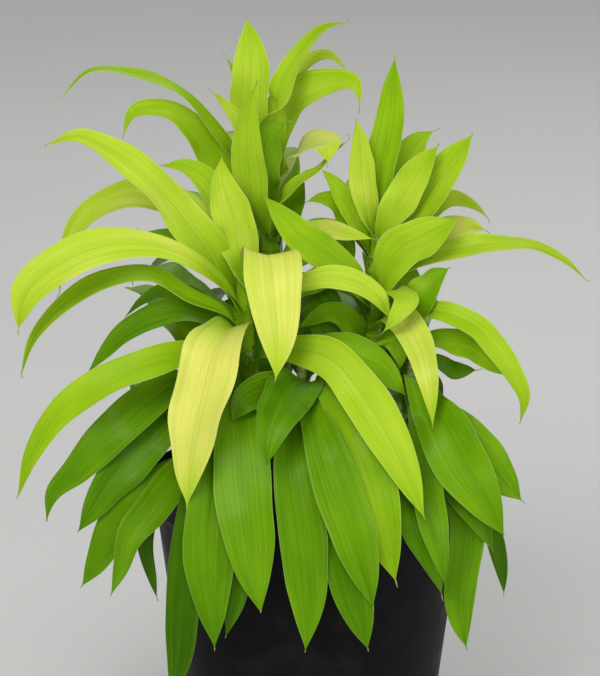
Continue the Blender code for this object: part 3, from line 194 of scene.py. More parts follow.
# Leaves that shape the front: cane, rise of the root, width, place of the greatest width (0 root
# to 1 tip), turn to the front (0 to 1), tone (0 deep green to 1 pale yellow), then the midrib's
# points after the root as (across, out, up) in cm, where up is the height above SIGHT_LEVEL as
# seen from SIGHT_TILT above the horizontal.
# The lower and inner leaves have darker tones: partly their own deeper green, partly painted shade among
# the leaves
LEAVES = (
    ("left", 17.6, 4.2, 0.36, 0.85, 0.78, ((-8.7, 5.8, 20.3), (-12.0, 7.2, 25.6), (-15.9, 8.2, 30.0),
     (-20.1, 9.0, 33.0), (-23.5, 9.5, 34.1), (-25.4, 9.5, 33.8), (-26.0, 9.5, 32.5))),
    ("left", 18.6, 3.4, 0.50, 0.70, 0.66, ((-7.5, 2.5, 23.9), (-9.6, 1.5, 28.8), (-12.4, 1.0, 31.1),
     (-15.0, 1.0, 30.8))),
    ("left", 19.4, 4.2, 0.52, 0.95, 0.80, ((-6.6, 5.2, 20.4), (-7.5, 5.6, 24.8), (-8.4, 5.8, 28.6),
     (-9.1, 5.8, 32.1))),
    ("left", 18.0, 3.3, 0.50, 0.70, 0.82, ((-7.9, 3.5, 22.7), (-11.9, 1.5, 27.1), (-16.0, 0.5, 28.7),
     (-20.4, 0.0, 27.6), (-23.8, 0.0, 24.1), (-25.3, 0.0, 18.0))),
    ("left", 16.4, 4.1, 0.76, 0.85, 0.80, ((-8.3, 7.0, 18.9), (-11.2, 9.0, 21.7), (-14.7, 10.5, 23.3),
     (-18.6, 11.5, 23.5), (-22.0, 12.0, 22.7), (-25.4, 12.5, 20.8), (-28.0, 12.5, 18.3),
     (-29.0, 12.5, 16.4), (-28.4, 12.5, 14.1))),
    ("left", 17.2, 2.8, 0.55, 0.50, 0.40, ((-9.9, 3.0, 22.5), (-13.9, 2.5, 24.3), (-17.3, 2.5, 24.3))),
    ("left", 15.2, 2.4, 0.50, 0.55, 0.55, ((-8.7, 7.0, 16.8), (-11.8, 8.0, 18.1), (-15.2, 8.8, 20.3),
     (-19.4, 9.2, 20.2), (-23.4, 9.5, 18.1), (-26.3, 9.5, 15.5), (-27.9, 9.5, 12.8), (-28.6, 9.5, 9.9))),
    ("left", 14.0, 2.8, 0.50, 0.60, 0.27, ((-9.4, 5.5, 15.6), (-13.0, 6.0, 16.9), (-17.2, 6.0, 15.5),
     (-20.2, 6.0, 12.8), (-22.0, 6.0, 10.2))),
    ("left", 13.2, 2.2, 0.50, 0.50, 0.22, ((-9.1, 2.4, 15.8), (-12.7, 0.8, 18.3), (-15.9, 0.2, 18.3),
     (-18.3, 0.2, 16.0))),
    ("left", 12.0, 3.3, 0.48, 0.80, 0.58, ((-9.5, 7.5, 12.8), (-14.3, 9.5, 12.2), (-19.1, 10.5, 10.4),
     (-23.6, 11.0, 7.5), (-26.4, 11.0, 4.4), (-28.0, 11.0, 1.2), (-28.6, 11.0, -1.9))),
    ("left", 15.8, 6.4, 0.52, 0.15, 0.98, ((-7.3, 7.5, 15.2), (-8.3, 11.5, 14.7), (-9.7, 14.6, 12.2),
     (-10.9, 16.0, 7.9), (-11.8, 16.3, 2.7), (-12.0, 16.3, -2.8))),
    ("left", 19.0, 5.7, 0.56, 0.15, 0.94, ((-5.5, 6.2, 20.1), (-4.4, 8.6, 22.2), (-3.8, 11.4, 21.8),
     (-3.4, 13.4, 18.7), (-3.1, 14.6, 14.4), (-2.9, 15.2, 9.7))),
    ("left", 18.2, 2.6, 0.72, 0.80, 0.80, ((-4.7, 6.6, 18.2), (-0.8, 8.0, 19.6), (2.4, 8.6, 20.3),
     (5.1, 9.0, 19.5), (6.8, 9.2, 18.0), (7.6, 9.2, 15.7))),
    ("left", 8.5, 5.9, 0.62, 1.00, 0.33, ((-6.6, 9.5, 8.6), (-6.6, 14.5, 5.7), (-6.4, 17.6, -0.7),
     (-5.8, 18.2, -7.0), (-4.9, 18.2, -12.9))),
    ("left", 4.5, 4.0, 0.60, 1.00, 0.12, ((-6.9, 9.0, 4.1), (-7.3, 15.5, -1.7), (-7.2, 17.0, -9.5),
     (-8.0, 17.0, -15.6))),
    ("left", 6.0, 5.3, 0.62, 1.00, 0.27, ((-8.3, 8.5, 5.1), (-9.5, 13.5, 1.7), (-9.9, 16.0, -4.6),
     (-9.6, 16.2, -11.6), (-9.4, 16.2, -16.7))),
    ("left", 10.5, 4.0, 0.60, 0.90, 0.25, ((-7.9, 7.0, 10.6), (-9.1, 9.5, 9.1), (-9.7, 11.0, 4.7))),
    ("left", 12.0, 4.6, 0.60, 1.00, 0.70, ((-4.2, 7.5, 12.7), (-1.0, 10.4, 13.0), (2.0, 13.4, 12.2),
     (5.0, 15.6, 8.8), (7.9, 16.8, 4.1), (10.0, 17.0, -0.7), (11.1, 17.0, -3.9))),
    ("back", 25.0, 1.9, 0.45, 0.32, 0.60, ((-7.0, -3.5, 30.9), (-10.4, -3.0, 35.3), (-12.4, -2.7, 37.8),
     (-15.8, -2.4, 39.7), (-20.3, -2.0, 40.8), (-23.2, -1.5, 40.0), (-24.7, -1.5, 37.8))),
    ("back", 24.0, 3.1, 0.52, 0.70, 0.62, ((-6.6, -3.2, 27.9), (-9.5, -2.4, 32.7), (-12.7, -1.6, 36.4),
     (-15.8, -1.2, 36.9), (-18.2, -1.0, 36.1), (-18.6, -0.8, 34.0))),
    ("back", 26.4, 4.0, 0.68, 0.95, 0.76, ((-4.6, -3.8, 31.9), (-5.3, -3.6, 38.3), (-6.0, -3.8, 42.9),
     (-6.9, -4.4, 46.6))),
    ("back", 25.6, 1.9, 0.50, 0.90, 0.66, ((-5.6, -5.6, 31.9), (-6.7, -6.2, 38.9), (-8.6, -6.6, 43.1))),
    ("back", 24.6, 1.8, 0.60, 0.80, 0.84, ((-5.6, -2.2, 29.7), (-6.6, -1.6, 34.3), (-9.7, -1.2, 39.4))),
    ("back", 23.4, 3.5, 0.55, 0.95, 0.66, ((-5.4, 1.0, 26.9), (-6.2, 2.4, 32.2), (-6.1, 2.8, 36.6),
     (-4.7, 2.8, 39.8))),
    ("back", 26.0, 2.9, 0.45, 0.75, 0.64, ((-3.4, -2.2, 32.7), (-2.9, -1.4, 37.3), (-2.0, -1.4, 41.1),
     (0.1, -1.8, 43.9), (2.1, -2.0, 45.9), (3.3, -2.0, 46.5), (4.2, -1.8, 45.9))),
    ("back", 25.4, 2.1, 0.50, 0.90, 0.80, ((-3.4, -5.6, 33.9), (-2.6, -5.6, 39.1), (-0.8, -5.4, 41.4),
     (1.2, -5.2, 42.4), (3.2, -5.0, 41.8), (4.3, -5.0, 40.4))),
    ("back", 24.8, 3.7, 0.52, 0.85, 0.70, ((-3.5, -4.0, 30.7), (-3.0, -3.8, 34.5), (-1.3, -3.2, 37.4),
     (1.2, -1.6, 39.0), (3.5, -0.4, 39.4), (5.3, 0.4, 38.8), (5.1, 0.6, 36.4))),
    ("back", 24.2, 4.6, 0.55, 0.90, 0.40, ((-4.2, -1.4, 29.1), (-3.6, -0.2, 32.0), (-2.6, 0.4, 34.0),
     (-1.1, 0.4, 35.1))),
    ("back", 23.0, 2.8, 0.55, 0.90, 0.34, ((-3.0, -2.8, 26.4), (-2.0, -2.2, 28.7), (-0.7, -1.8, 30.9))),
    ("back", 22.2, 1.6, 0.50, 0.50, 0.72, ((-4.0, -2.4, 26.7), (-3.1, -0.4, 29.2), (-1.2, 0.6, 30.6),
     (0.8, 1.6, 31.8), (2.7, 1.6, 33.1), (4.5, 1.4, 34.3))),
    ("back", 19.0, 3.6, 0.55, 0.70, 0.45, ((-1.6, -2.2, 22.4), (1.0, -1.0, 24.5), (3.0, -0.4, 23.5),
     (4.0, -0.2, 20.6))),
    ("back", 17.0, 4.2, 0.55, 0.90, 0.26, ((-0.8, -1.0, 19.0), (1.4, 2.0, 17.6), (2.4, 3.4, 14.0),
     (2.6, 3.8, 10.5))),
    ("back", 14.0, 5.6, 0.55, 0.90, 0.18, ((-4.2, -1.6, 15.4), (-4.6, 0.6, 13.0), (-5.0, 1.2, 8.8))),
    ("back", 22.6, 4.8, 0.72, 0.22, 0.96, ((-3.8, -4.6, 29.2), (-3.2, -4.4, 31.7), (-2.0, -2.4, 33.7),
     (-0.2, 0.8, 34.1), (1.1, 3.0, 33.4), (1.0, 4.2, 31.4))),
    ("back", 19.6, 2.3, 0.60, 0.90, 0.92, ((-1.2, -1.8, 24.2), (1.8, 1.8, 24.8), (4.2, 3.6, 24.4),
     (6.7, 4.4, 23.6))),
    ("right", 24.0, 2.9, 0.55, 0.90, 0.80, ((5.4, 1.8, 27.8), (5.0, 2.2, 31.8), (4.9, 2.4, 36.2))),
    ("right", 24.2, 3.2, 0.55, 0.95, 0.52, ((7.1, 0.4, 29.8), (7.9, 0.4, 35.2), (8.0, 0.2, 38.9),
     (8.0, 0.0, 42.6))),
    ("right", 23.2, 3.6, 0.60, 0.80, 0.64, ((7.6, -1.0, 27.4), (9.6, -2.0, 31.7), (11.3, -2.6, 34.5),
     (12.8, -2.8, 35.5))),
    ("right", 22.6, 3.5, 0.60, 0.80, 0.74, ((7.5, 2.2, 25.4), (9.5, 2.8, 28.8), (11.6, 3.2, 31.9),
     (13.0, 3.4, 33.6))),
    ("right", 21.4, 4.2, 0.60, 0.80, 0.68, ((8.5, 2.0, 23.7), (11.2, 2.2, 27.6), (14.0, 2.2, 31.6),
     (16.3, 2.2, 34.5))),
    ("right", 20.6, 2.6, 0.55, 0.60, 0.60, ((9.1, 0.4, 23.9), (12.3, 0.0, 27.9), (15.1, -0.2, 31.3))),
    ("right", 19.8, 2.6, 0.50, 0.50, 0.74, ((8.9, -1.4, 23.3), (11.9, -2.4, 26.9), (14.4, -2.8, 28.1),
     (16.7, -3.0, 27.2), (18.3, -3.2, 25.9))),
    ("right", 18.8, 3.6, 0.62, 0.60, 1.00, ((9.3, -0.6, 21.8), (12.7, -1.4, 24.3), (15.7, -1.6, 25.3),
     (17.9, -1.6, 24.1))),
    ("right", 18.0, 2.5, 0.36, 0.45, 0.70, ((9.3, 2.4, 20.7), (12.8, 3.0, 22.6), (17.8, 3.4, 23.6),
     (21.7, 3.6, 23.5), (24.5, 3.6, 22.3), (26.7, 3.6, 21.0), (27.8, 3.6, 19.3))),
    ("right", 17.6, 4.5, 0.66, 0.90, 0.66, ((8.1, 4.2, 20.1), (10.2, 5.0, 22.9), (12.4, 5.4, 24.8),
     (14.6, 5.4, 26.3))),
    ("right", 16.6, 4.0, 0.62, 0.70, 0.42, ((8.7, 4.2, 17.4), (10.7, 4.8, 18.6), (12.8, 5.0, 19.8),
     (14.6, 5.0, 20.9))),
    ("right", 15.8, 3.3, 0.48, 0.20, 0.76, ((8.1, 5.4, 18.2), (9.0, 8.0, 19.0), (9.2, 10.0, 17.7),
     (8.1, 10.6, 16.2), (6.7, 10.6, 14.6))),
    ("right", 17.0, 3.5, 0.60, 0.90, 0.56, ((4.1, 4.4, 19.9), (1.5, 5.2, 22.5), (-2.1, 5.6, 25.5),
     (-4.5, 5.8, 28.4))),
    ("right", 22.0, 2.6, 0.50, 0.70, 0.52, ((4.4, 0.0, 25.5), (2.0, 0.4, 28.1), (-0.6, 0.6, 27.3))),
    ("right", 15.2, 3.3, 0.45, 0.90, 0.88, ((7.8, 4.2, 16.8), (8.9, 7.4, 16.2), (10.2, 9.6, 14.2),
     (11.2, 10.6, 11.8), (11.7, 11.0, 9.4), (12.2, 11.2, 7.1), (12.8, 11.2, 4.6))),
    ("right", 13.0, 2.8, 0.50, 0.80, 0.42, ((4.0, 2.6, 15.6), (1.6, 3.8, 16.8), (-1.4, 4.4, 14.6))),
    ("right", 15.0, 3.2, 0.55, 0.60, 0.40, ((4.2, 0.6, 18.6), (1.8, 1.2, 20.0), (-1.0, 1.4, 19.0),
     (-2.4, 1.4, 16.6))),
    ("right", 7.5, 3.6, 0.55, 0.70, 0.22, ((7.7, 1.8, 10.0), (9.1, 2.6, 10.8), (10.5, 3.0, 8.0))),
    ("right", 22.4, 2.2, 0.60, 0.80, 0.62, ((4.5, 1.6, 25.7), (3.0, 1.8, 28.6), (1.0, 2.0, 31.6))),
    ("right", 14.2, 2.8, 0.55, 0.90, 0.48, ((7.3, 4.2, 13.9), (8.7, 5.8, 12.0), (9.5, 6.2, 9.8),
     (9.9, 6.0, 7.9))),
    ("front", 10.8, 4.0, 0.55, 0.80, 0.46, ((1.2, 6.5, 12.8), (4.1, 7.6, 12.4), (7.3, 8.2, 10.7),
     (9.4, 8.2, 7.8))),
    ("front", 10.4, 5.0, 0.50, 1.00, 0.22, ((-0.4, 9.0, 9.8), (-1.8, 12.6, 9.0), (-3.5, 18.0, 6.0),
     (-4.7, 19.2, 1.7))),
    ("front", 9.0, 3.6, 0.60, 0.90, 0.28, ((-2.2, 8.0, 8.3), (-4.3, 9.6, 8.8), (-6.5, 11.2, 8.0),
     (-8.5, 12.0, 5.2))),
    ("front", 6.0, 4.8, 0.64, 1.00, 0.28, ((-1.4, 10.4, 6.1), (-2.0, 15.6, 2.7), (-1.0, 18.2, -3.6),
     (-0.3, 18.6, -10.5), (0.1, 18.6, -17.2))),
    ("front", 8.0, 4.9, 0.64, 1.00, 0.31, ((-0.2, 10.4, 7.9), (1.2, 15.4, 4.2), (3.2, 18.0, -2.2),
     (5.0, 18.6, -7.7), (6.3, 18.6, -12.8))),
    ("front", 9.6, 5.2, 0.62, 1.00, 0.50, ((1.0, 9.4, 9.9), (3.5, 13.4, 6.6), (5.5, 16.2, 0.9),
     (7.0, 17.2, -4.6), (8.6, 17.4, -10.5))),
    ("front", 3.6, 4.4, 0.70, 1.00, 0.22, ((0.8, 10.0, 3.2), (2.1, 15.6, -1.7), (3.1, 17.0, -6.6),
     (4.5, 17.2, -12.0), (5.5, 17.2, -16.7))),
    ("low_right", 15.2, 2.6, 0.55, 0.70, 0.66, ((10.7, 5.4, 16.9), (12.8, 7.0, 17.0), (15.2, 8.2, 15.9),
     (17.5, 8.8, 13.9), (19.3, 9.0, 11.7), (20.7, 9.0, 9.3), (21.1, 9.0, 7.4), (20.1, 9.0, 5.5))),
    ("low_right", 14.2, 3.0, 0.55, 0.70, 0.50, ((11.9, 4.6, 14.2), (15.0, 5.2, 13.6), (17.6, 5.4, 12.0),
     (19.4, 5.4, 10.2))),
    ("low_right", 13.0, 2.2, 0.55, 0.60, 0.26, ((11.9, 2.8, 11.8), (14.4, 3.0, 11.1), (17.2, 3.0, 10.9))),
    ("low_right", 10.5, 4.8, 0.62, 0.90, 0.36, ((11.3, 6.0, 8.3), (13.8, 8.6, 5.6), (16.8, 9.8, 2.4),
     (19.0, 10.2, -0.2), (20.7, 10.2, -2.6))),
    ("low_right", 11.5, 5.7, 0.62, 0.95, 0.34, ((10.6, 8.0, 10.5), (12.4, 11.2, 5.7), (14.9, 12.8, 0.6),
     (17.5, 13.4, -3.1), (19.3, 13.4, -5.7))),
    ("low_right", 7.0, 4.8, 0.62, 0.90, 0.22, ((11.3, 6.0, 5.7), (13.2, 8.8, 0.2), (15.6, 9.8, -4.8),
     (18.0, 10.0, -8.4))),
    ("low_right", 4.0, 1.9, 0.70, 0.80, 0.08, ((12.5, 5.0, 3.1), (16.3, 6.6, -1.5), (18.7, 7.2, -6.7),
     (19.3, 7.2, -11.8))),
    ("low_right", 5.0, 4.8, 0.60, 0.95, 0.18, ((9.3, 8.0, 3.5), (8.1, 12.6, -2.3), (9.2, 13.6, -7.7),
     (12.9, 13.6, -12.2))),
    ("low_right", 8.6, 3.2, 0.62, 0.95, 0.28, ((10.4, 9.0, 6.9), (11.2, 14.2, 1.2), (12.3, 16.2, -4.6),
     (13.5, 16.4, -10.4))),
    ("low_right", 2.6, 3.8, 0.66, 0.90, 0.28, ((10.5, 7.0, 0.7), (11.6, 11.6, -4.7), (13.4, 12.8, -9.7),
     (14.8, 13.0, -13.9), (15.7, 13.0, -17.3))),
    ("low_left", 10.4, 4.2, 0.42, 0.85, 0.28, ((-13.5, 4.8, 9.6), (-16.8, 6.8, 6.9), (-20.4, 7.8, 4.0),
     (-23.6, 8.2, 0.7), (-25.6, 8.2, -1.6), (-25.9, 8.2, -4.5))),
    ("low_left", 7.6, 4.2, 0.55, 0.85, 0.23, ((-13.3, 5.4, 6.3), (-16.6, 7.4, 3.1), (-20.2, 8.4, -0.8),
     (-22.9, 8.6, -5.5))),
    ("low_left", 6.0, 2.8, 0.60, 0.80, 0.12, ((-13.3, 3.0, 6.8), (-16.3, 3.8, 4.1), (-18.9, 4.2, -0.9))),
    ("low_left", 4.2, 3.9, 0.60, 0.90, 0.28, ((-12.3, 5.6, 1.1), (-14.4, 8.4, -1.8), (-17.3, 9.6, -3.6),
     (-20.3, 10.0, -6.8), (-22.6, 10.0, -11.0))),
    ("low_left", 5.0, 3.6, 0.50, 0.95, 0.32, ((-11.9, 7.4, 0.3), (-14.0, 10.4, -3.1), (-16.6, 12.0, -6.2),
     (-18.6, 12.4, -9.0), (-19.8, 12.4, -11.8))),
    ("low_left", 2.0, 2.0, 0.60, 0.90, 0.04, ((-12.7, 5.6, 0.1), (-14.4, 8.8, -4.8), (-15.2, 9.2, -8.8),
     (-15.3, 9.4, -12.4))),
    ("low_left", 3.2, 3.5, 0.68, 0.95, 0.08, ((-10.5, 7.2, 1.1), (-9.8, 11.4, -4.7), (-10.5, 13.0, -10.7),
     (-12.2, 13.4, -15.8), (-14.2, 13.4, -21.8))),
    ("back", 14.0, 4.4, 0.60, 0.90, 0.15, ((-2.0, -2.8, 16.0), (-0.8, -1.6, 14.6), (-0.4, -0.6, 12.4),
     (-0.5, -0.2, 9.4))),
)

# Leaves of the sides and back, which grow round each cane by rule: how many, the headings that
# they fill (degrees, 0 to the right, 90 to the back), and their lengths in cm
HIDDEN_LEAVES = {
    "left": (4, 92, 138, (22, 27)),
    "back": (10, 90, 138, (22, 27)),
    "right": (5, 64, 116, (20, 25)),
    "front": (1, 60, 120, (16, 18)),
    "low_right": (5, 74, 122, (20, 24)),
    "low_left": (6, 65, 132, (21, 27)),
}
HIDDEN_WIDTHS = (4.6, 5.8)
HIDDEN_BELLY = 0.6
# Hidden leaves darken from the highest to the lowest: partly their own deeper green, partly painted shade
# inside the plant
HIDDEN_TONES = (0.2, 0.6)
HIDDEN_PIECES = 6
YOUNGER_SHORTER = 0.28
STEEPEST_HANG = math.radians(-82)

# Rise of such a leaf and how far it bends over, in degrees: the lowest one's, what the highest
# one's adds, and the stray of each; then the stray of its heading and its place on the cane in cm
PITCH = (18, 44, 6)
BEND = (125, -45, 12)
BEND_START = 0.3
BEND_POWER = 1.25
HEADING_STRAY = 8
LOWEST_ABOVE = 1.0
LOWEST_RISE = 2.5
HIGHEST_BELOW = 1.5

# Finer leaves, whose last rows are the dry thread at the tip; sizes in metres
FINE_ROWS = 50
THREAD_ROWS = 6
FINE_COLUMNS = 12
FINE_THICKNESS = 0.0006
ROW_SPACING = 0.96
OUTLINE_SHIFTS = (0.95, 1.06)
CORNER_STEPS = (-0.04, -0.02, 0.0, 0.02, 0.04)
CORNER_ENDS = 0.06
FOLD_ROUND = 0.08
SWAY_TURNS = (5.0, 9.0)
SWAY_REACH = 0.003
TWIST_TURNS = (3.0, 7.0)
TWISTS = (0.05, 0.30)
EDGE_WAVES = (0.06, 0.19)
EDGE_WAVE_TURNS = (12.0, 24.0)
EDGE_BITES = (0.015, 0.05)
EDGE_BITE_TURNS = (14.0, 30.0)
DEEP_GREEN_WAVE = 0.45
WAVE_SWELL_TURNS = (3.0, 8.0)
WAVE_SWELL = (0.85, 0.35)
BOX_EASE = 0.3
TIP_HOOK = 0.005
HOOK_START = 0.80
TIP_SHARE = 0.03
CLASP = 0.11
CLASP_TURN = math.radians(115.0)
CLASP_DROP = 0.006
CLASP_RISE = 0.010
CLASP_ROOM = 1.04
THREAD_LENGTHS = (0.003, 0.012)
THREAD_CURLS = (40.0, 130.0)
THREAD_SIDES = (-1.0, -1.0, 1.0)
THREAD_CURL_POWER = 1.5
THREAD_NARROWS = 0.75

# Round pieces; a leaf scar is (share of its length, share of the stem's radius)
ROUND_SIDES = 96
STEM_SIDES = 20
SCAR_SPACING = 0.0085
SCAR_SHAPE = ((0.0, 1.0), (0.55, 0.955), (0.85, 0.965), (0.93, 1.05))
SMOOTH_ANGLE = math.radians(35.0)
LEAF_SMOOTH_ANGLE = math.radians(40.0)

# The tall canes, whose shoots are lime; those of the short ones are green
TALL_CANES = ("left", "back", "right")

# View: 15 degrees above the horizontal, one pixel of a 600 by 676 frame to a millimetre
VIEW_CENTRE = Vector((-0.010, 0.0368, 0.4072))
VIEW_DISTANCE = 8.0
FRAME_HEIGHT = 0.676
SENSOR = 36.0
CLIP_END = 100.0

# Studio: lamps as (name, place, size, power), which are a key above the camera, a fill on the
# right, a low fill and one behind; the sky and the floor
LAMPS = (
    ("key", (-0.9, -2.6, 2.6), 1.6, 64.0),
    ("fill", (2.4, -1.8, 1.2), 2.2, 22.0),
    ("front", (0.3, -3.4, 1.5), 1.2, 16.0),
    ("back", (0.4, 2.2, 2.4), 1.8, 22.0),
)
SKY_COLOUR = (0.95, 0.95, 0.93)
SKY_STRENGTH = 0.38
FLOOR_SIZE = 60.0
FLOOR_DROP = 0.0005
FLOOR_COLOURS = ((0.70, 0.70, 0.69), (0.74, 0.74, 0.73))
FLOOR_CLOUDS = (2.0, 2.0)
FLOOR_ROUGHNESS = (0.2, 0.8, 0.70, 0.80)

# Materials. A fade is (from, to), then its strengths at the two unless they are 0 and 1; a noise is
# (scale, detail, roughness), the last ones only where they differ from the usual; a relief is
# (strength, depth in metres).

# Leaf colours from deep green through lime to near yellow, as the tone rises from 0 to 1
LEAF_TONES = ((0.0, (0.030, 0.110, 0.0)), (0.2, (0.075, 0.215, 0.0)), (0.4, (0.155, 0.345, 0.002)),
              (0.6, (0.290, 0.500, 0.006)), (0.8, (0.460, 0.630, 0.036)), (1.0, (0.74, 0.74, 0.14)))

# Noises of the leaf markings as (scale across, scale along, detail, roughness): streaks, patches,
# ribs and flecks; then the colours of the markings, one of them a pale green painted along the ribs as
# their sheen
LEAF_NOISES = ((11.0, 1.6, 3.0, 0.6), (1.6, 4.2, 2.0, 0.5), (48.0, 0.9, 1.0, 0.5), (9.0, 34.0, 2.0, 0.5))
CHANCE_SPREAD = 60.0
DARK_RIB = (0.05, 0.16, 0.0)
# Painted sheen: pale green laid along the ribs where their gloss catches the light
PAINTED_RIB_SHEEN = (0.34, 0.50, 0.07)
MIDRIB = (0.09, 0.22, 0.004)
PALE_MARGIN = (0.66, 0.72, 0.30)
DRY_TIP = (0.42, 0.36, 0.16)
FLECK = (0.22, 0.20, 0.03)

# Fades of the leaf markings: dark ribs, the painted sheen on the ribs and flecks by their noises,
# the midrib by the distance from it, the margin by that, by the place along the blade and by the
# tone, and the dry tip by the place along, which the streaks make ragged
DARK_RIB_FADE = (0.50, 0.30, 0.0, 0.15)
PAINTED_RIB_SHEEN_FADE = (0.54, 0.72, 0.0, 0.20)
FLECK_FADE = (0.76, 0.80, 0.0, 0.6)
MIDRIB_FADE = (0.0, 0.05, 0.16, 0.0)
MARGIN_FADE = (0.95, 0.99)
MARGIN_START = (0.05, 0.2)
MARGIN_BY_TONE = (0.2, 0.7, 0.12, 0.30)
DRY_FADE = (0.925, 0.965)
RAGGED = 0.05

# Tone along a blade: by these fades it nears TIP_TONE at the tip, or changes by LEAST_DROP where it
# is darker already, and nears ROOT_TONE at the root; streaks and patches shift it by these shares
TIP_TONE = 0.58
LEAST_DROP = -0.05
TIP_FADE = (0.62, 1.0, 0.0, 0.75)
ROOT_TONE = 0.36
ROOT_FADE = (0.05, 0.36, 0.6, 0.0)
TONE_SHIFTS = (0.20, 0.30)

# Roughness and relief of the leaves: what patches add, roughness without them, that of the dry tip,
# then the shares of streaks and midrib in the relief
PATCH_ROUGHNESS = (0.24, 0.23)
DRY_ROUGHNESS = 0.75
STREAK_RELIEF = 0.5
MIDRIB_RELIEF = 3.0

# Faces of the leaves: material, share of the underside's tint, strength of the relief, and gloss.
# Leaves shine pale green rather than white.
LEAF_FACES = (
    ("leaf_face", 0.0, 0.55, {"Specular_IOR_Level": 0.11, "Coat_Weight": 0.03, "Coat_Roughness": 0.08}),
    ("leaf_back", 0.16, 0.7, {"Specular_IOR_Level": 0.10}),
)
SHEEN_TINT = (0.85, 1.0, 0.40)
BACK_TINT = (0.30, 0.44, 0.03)
LEAF_RELIEF = 0.0006

# Stems and canes: two colours of the mottling, colour of the scars, roughness; then their noises
# and fades. RING_RELIEF is the share of rings in the relief, on the pot too.
GREEN_STEM = ((0.25, 0.36, 0.05), (0.46, 0.54, 0.14), (0.11, 0.13, 0.03), 0.45)
CANE_BARK = ((0.16, 0.12, 0.07), (0.30, 0.25, 0.15), (0.06, 0.045, 0.03), 0.8)
STEM_GRAIN = (900.0, 900.0, 60.0)
STEM_MOTTLE = (120.0, 3.0)
STEM_RINGS = 260.0
MOTTLE_FADE = (0.3, 0.7)
SCAR_FADE = (0.56, 0.66, 0.0, 0.6)
CRACK_FADE = (0.5, 0.3, 0.0, 0.35)
ROUGHNESS_FADE = (0.2, 0.8)
ROUGHNESS_SPREAD = 0.1
RING_RELIEF = 0.8
STEM_RELIEF = (0.6, 0.0006)

# Crumbs: detail and roughness of their fibre, its share in the tint, and what a crumb's chance
# number is multiplied by and added to there
CRUMB_FIBRE = (4.0, 0.65)
FIBRE_SHARE = 0.7
OWN_TINT = (0.6, -0.3)
CRUMB_ROUGHNESS_FADE = (0.2, 0.8, 0.75, 0.97)
CRUMB_RELIEF = (0.8, 0.0012)

# Pot's plastic, with its dusty bloom, mould lines and the splashes low on its wall
PLASTIC_BLACK = (0.0045, 0.0045, 0.005)
DUST = (0.06, 0.055, 0.048)
SPLASH = (0.12, 0.075, 0.045)
PLASTIC_GLOSS = 0.08
PLASTIC_GRAIN = (900.0, 2.0)
BLOOM = (28.0, 4.0, 0.6)
DUST_FADE = (0.42, 0.72, 0.0, 0.10)
PLASTIC_ROUGHNESS = (0.3, 0.75, 0.42, 0.60)
MOULD_LINES = 420.0
SPLASH_SPOTS = (160.0, 3.0)
SPOT_FADE = (0.5, 0.6)
SPLASH_FADE = (0.0, 0.05, 0.22, 0.0)
PLASTIC_RELIEF = (0.25, 0.0004)


def spot(across, out, up):
    """World point of a place given in cm, with its height as seen from SIGHT_TILT above."""
    rise = (up + out * math.sin(SIGHT_TILT)) / math.cos(SIGHT_TILT)
    return np.array((across * CM, -out * CM, SIGHT_LEVEL + rise * CM))


def cane_axis(cane, rise):
    """Point on a cane's axis at a height in cm above SIGHT_LEVEL: upright in the soil, then leaning."""
    (foot_across, foot_out), (top_across, top_out, top_rise), _lowest, _radius = CANES[cane]
    share = min(max(rise / top_rise, 0.0), 1.0)
    lean = share * share * (3.0 - 2.0 * share)
    across = foot_across + (top_across - foot_across) * lean
    out = foot_out + (top_out - foot_out) * lean
    return np.array((across * CM, -out * CM, SIGHT_LEVEL + rise * CM))


def unit(vector):
    """Vector of length one."""
    return vector / max(np.linalg.norm(vector), LEAST_LENGTH)


def on_curve(a, b, c, d, t):
    """Point on the smooth curve from b to c as t runs from 0 to 1, with a before them and d after."""
    return 0.5 * (2 * b + (c - a) * t + (2 * a - 5 * b + 4 * c - d) * t * t
                  + (3 * b - a - 3 * c + d) * t ** 3)


def smooth_route(points, rows):
    """Evenly spaced points on a smooth curve through the given ones."""
    ends = [2 * points[0] - points[1]] + list(points) + [2 * points[-1] - points[-2]]
    dense = []
    for a, b, c, d in zip(ends, ends[1:], ends[2:], ends[3:]):
        dense += [on_curve(a, b, c, d, t) for t in np.linspace(0.0, 1.0, CURVE_STEPS, endpoint=False)]
    dense.append(points[-1])
    dense = np.array(dense)
    travel = np.concatenate(([0.0], np.cumsum(np.linalg.norm(np.diff(dense, axis=0), axis=1))))
    stops = np.linspace(0.0, travel[-1], rows)
    return np.array([[np.interp(s, travel, dense[:, k]) for k in range(3)] for s in stops])


def roll_about(vector, axis, angle):
    """Vector turned about a unit axis."""
    along = axis * np.dot(axis, vector)
    return along + (vector - along) * math.cos(angle) + np.cross(axis, vector) * math.sin(angle)


def blade_frames(centres, face):
    """Side and upper normal at each row: carried along the midrib, then turned to the front."""
    tangents = np.gradient(centres, axis=0)
    heading = centres[len(centres) // 2] - centres[0]
    heading = unit(np.array((heading[0], heading[1], 0.0)))
    side = np.cross(heading, (0.0, 0.0, 1.0))
    front = np.array((0.0, -math.cos(SIGHT_TILT), math.sin(SIGHT_TILT)))
    sides, normals = [], []
    for row, tangent in enumerate(tangents):
        tangent = unit(tangent)
        side = unit(side - tangent * np.dot(side, tangent))
        upper = np.cross(side, tangent)
        aim = front - tangent * np.dot(front, tangent)
        angle = math.atan2(np.dot(np.cross(upper, aim), tangent), np.dot(upper, aim))
        ease = min(1.0, row / (len(centres) * TURN_EASE)) * min(1.0, np.linalg.norm(aim) * AIM_EASE)
        roll = angle * face * ease if abs(angle) < WIDEST_TURN else 0.0
        sides.append(roll_about(side, tangent, roll))
        normals.append(roll_about(upper, tangent, roll))
    return np.array(sides), np.array(normals)


def strayed(spread, share, chance):
    """Angle that changes from the lowest leaf of a cane to the highest, with some stray."""
    low, change, stray = spread
    return math.radians(low + change * share + chance.uniform(-stray, stray))


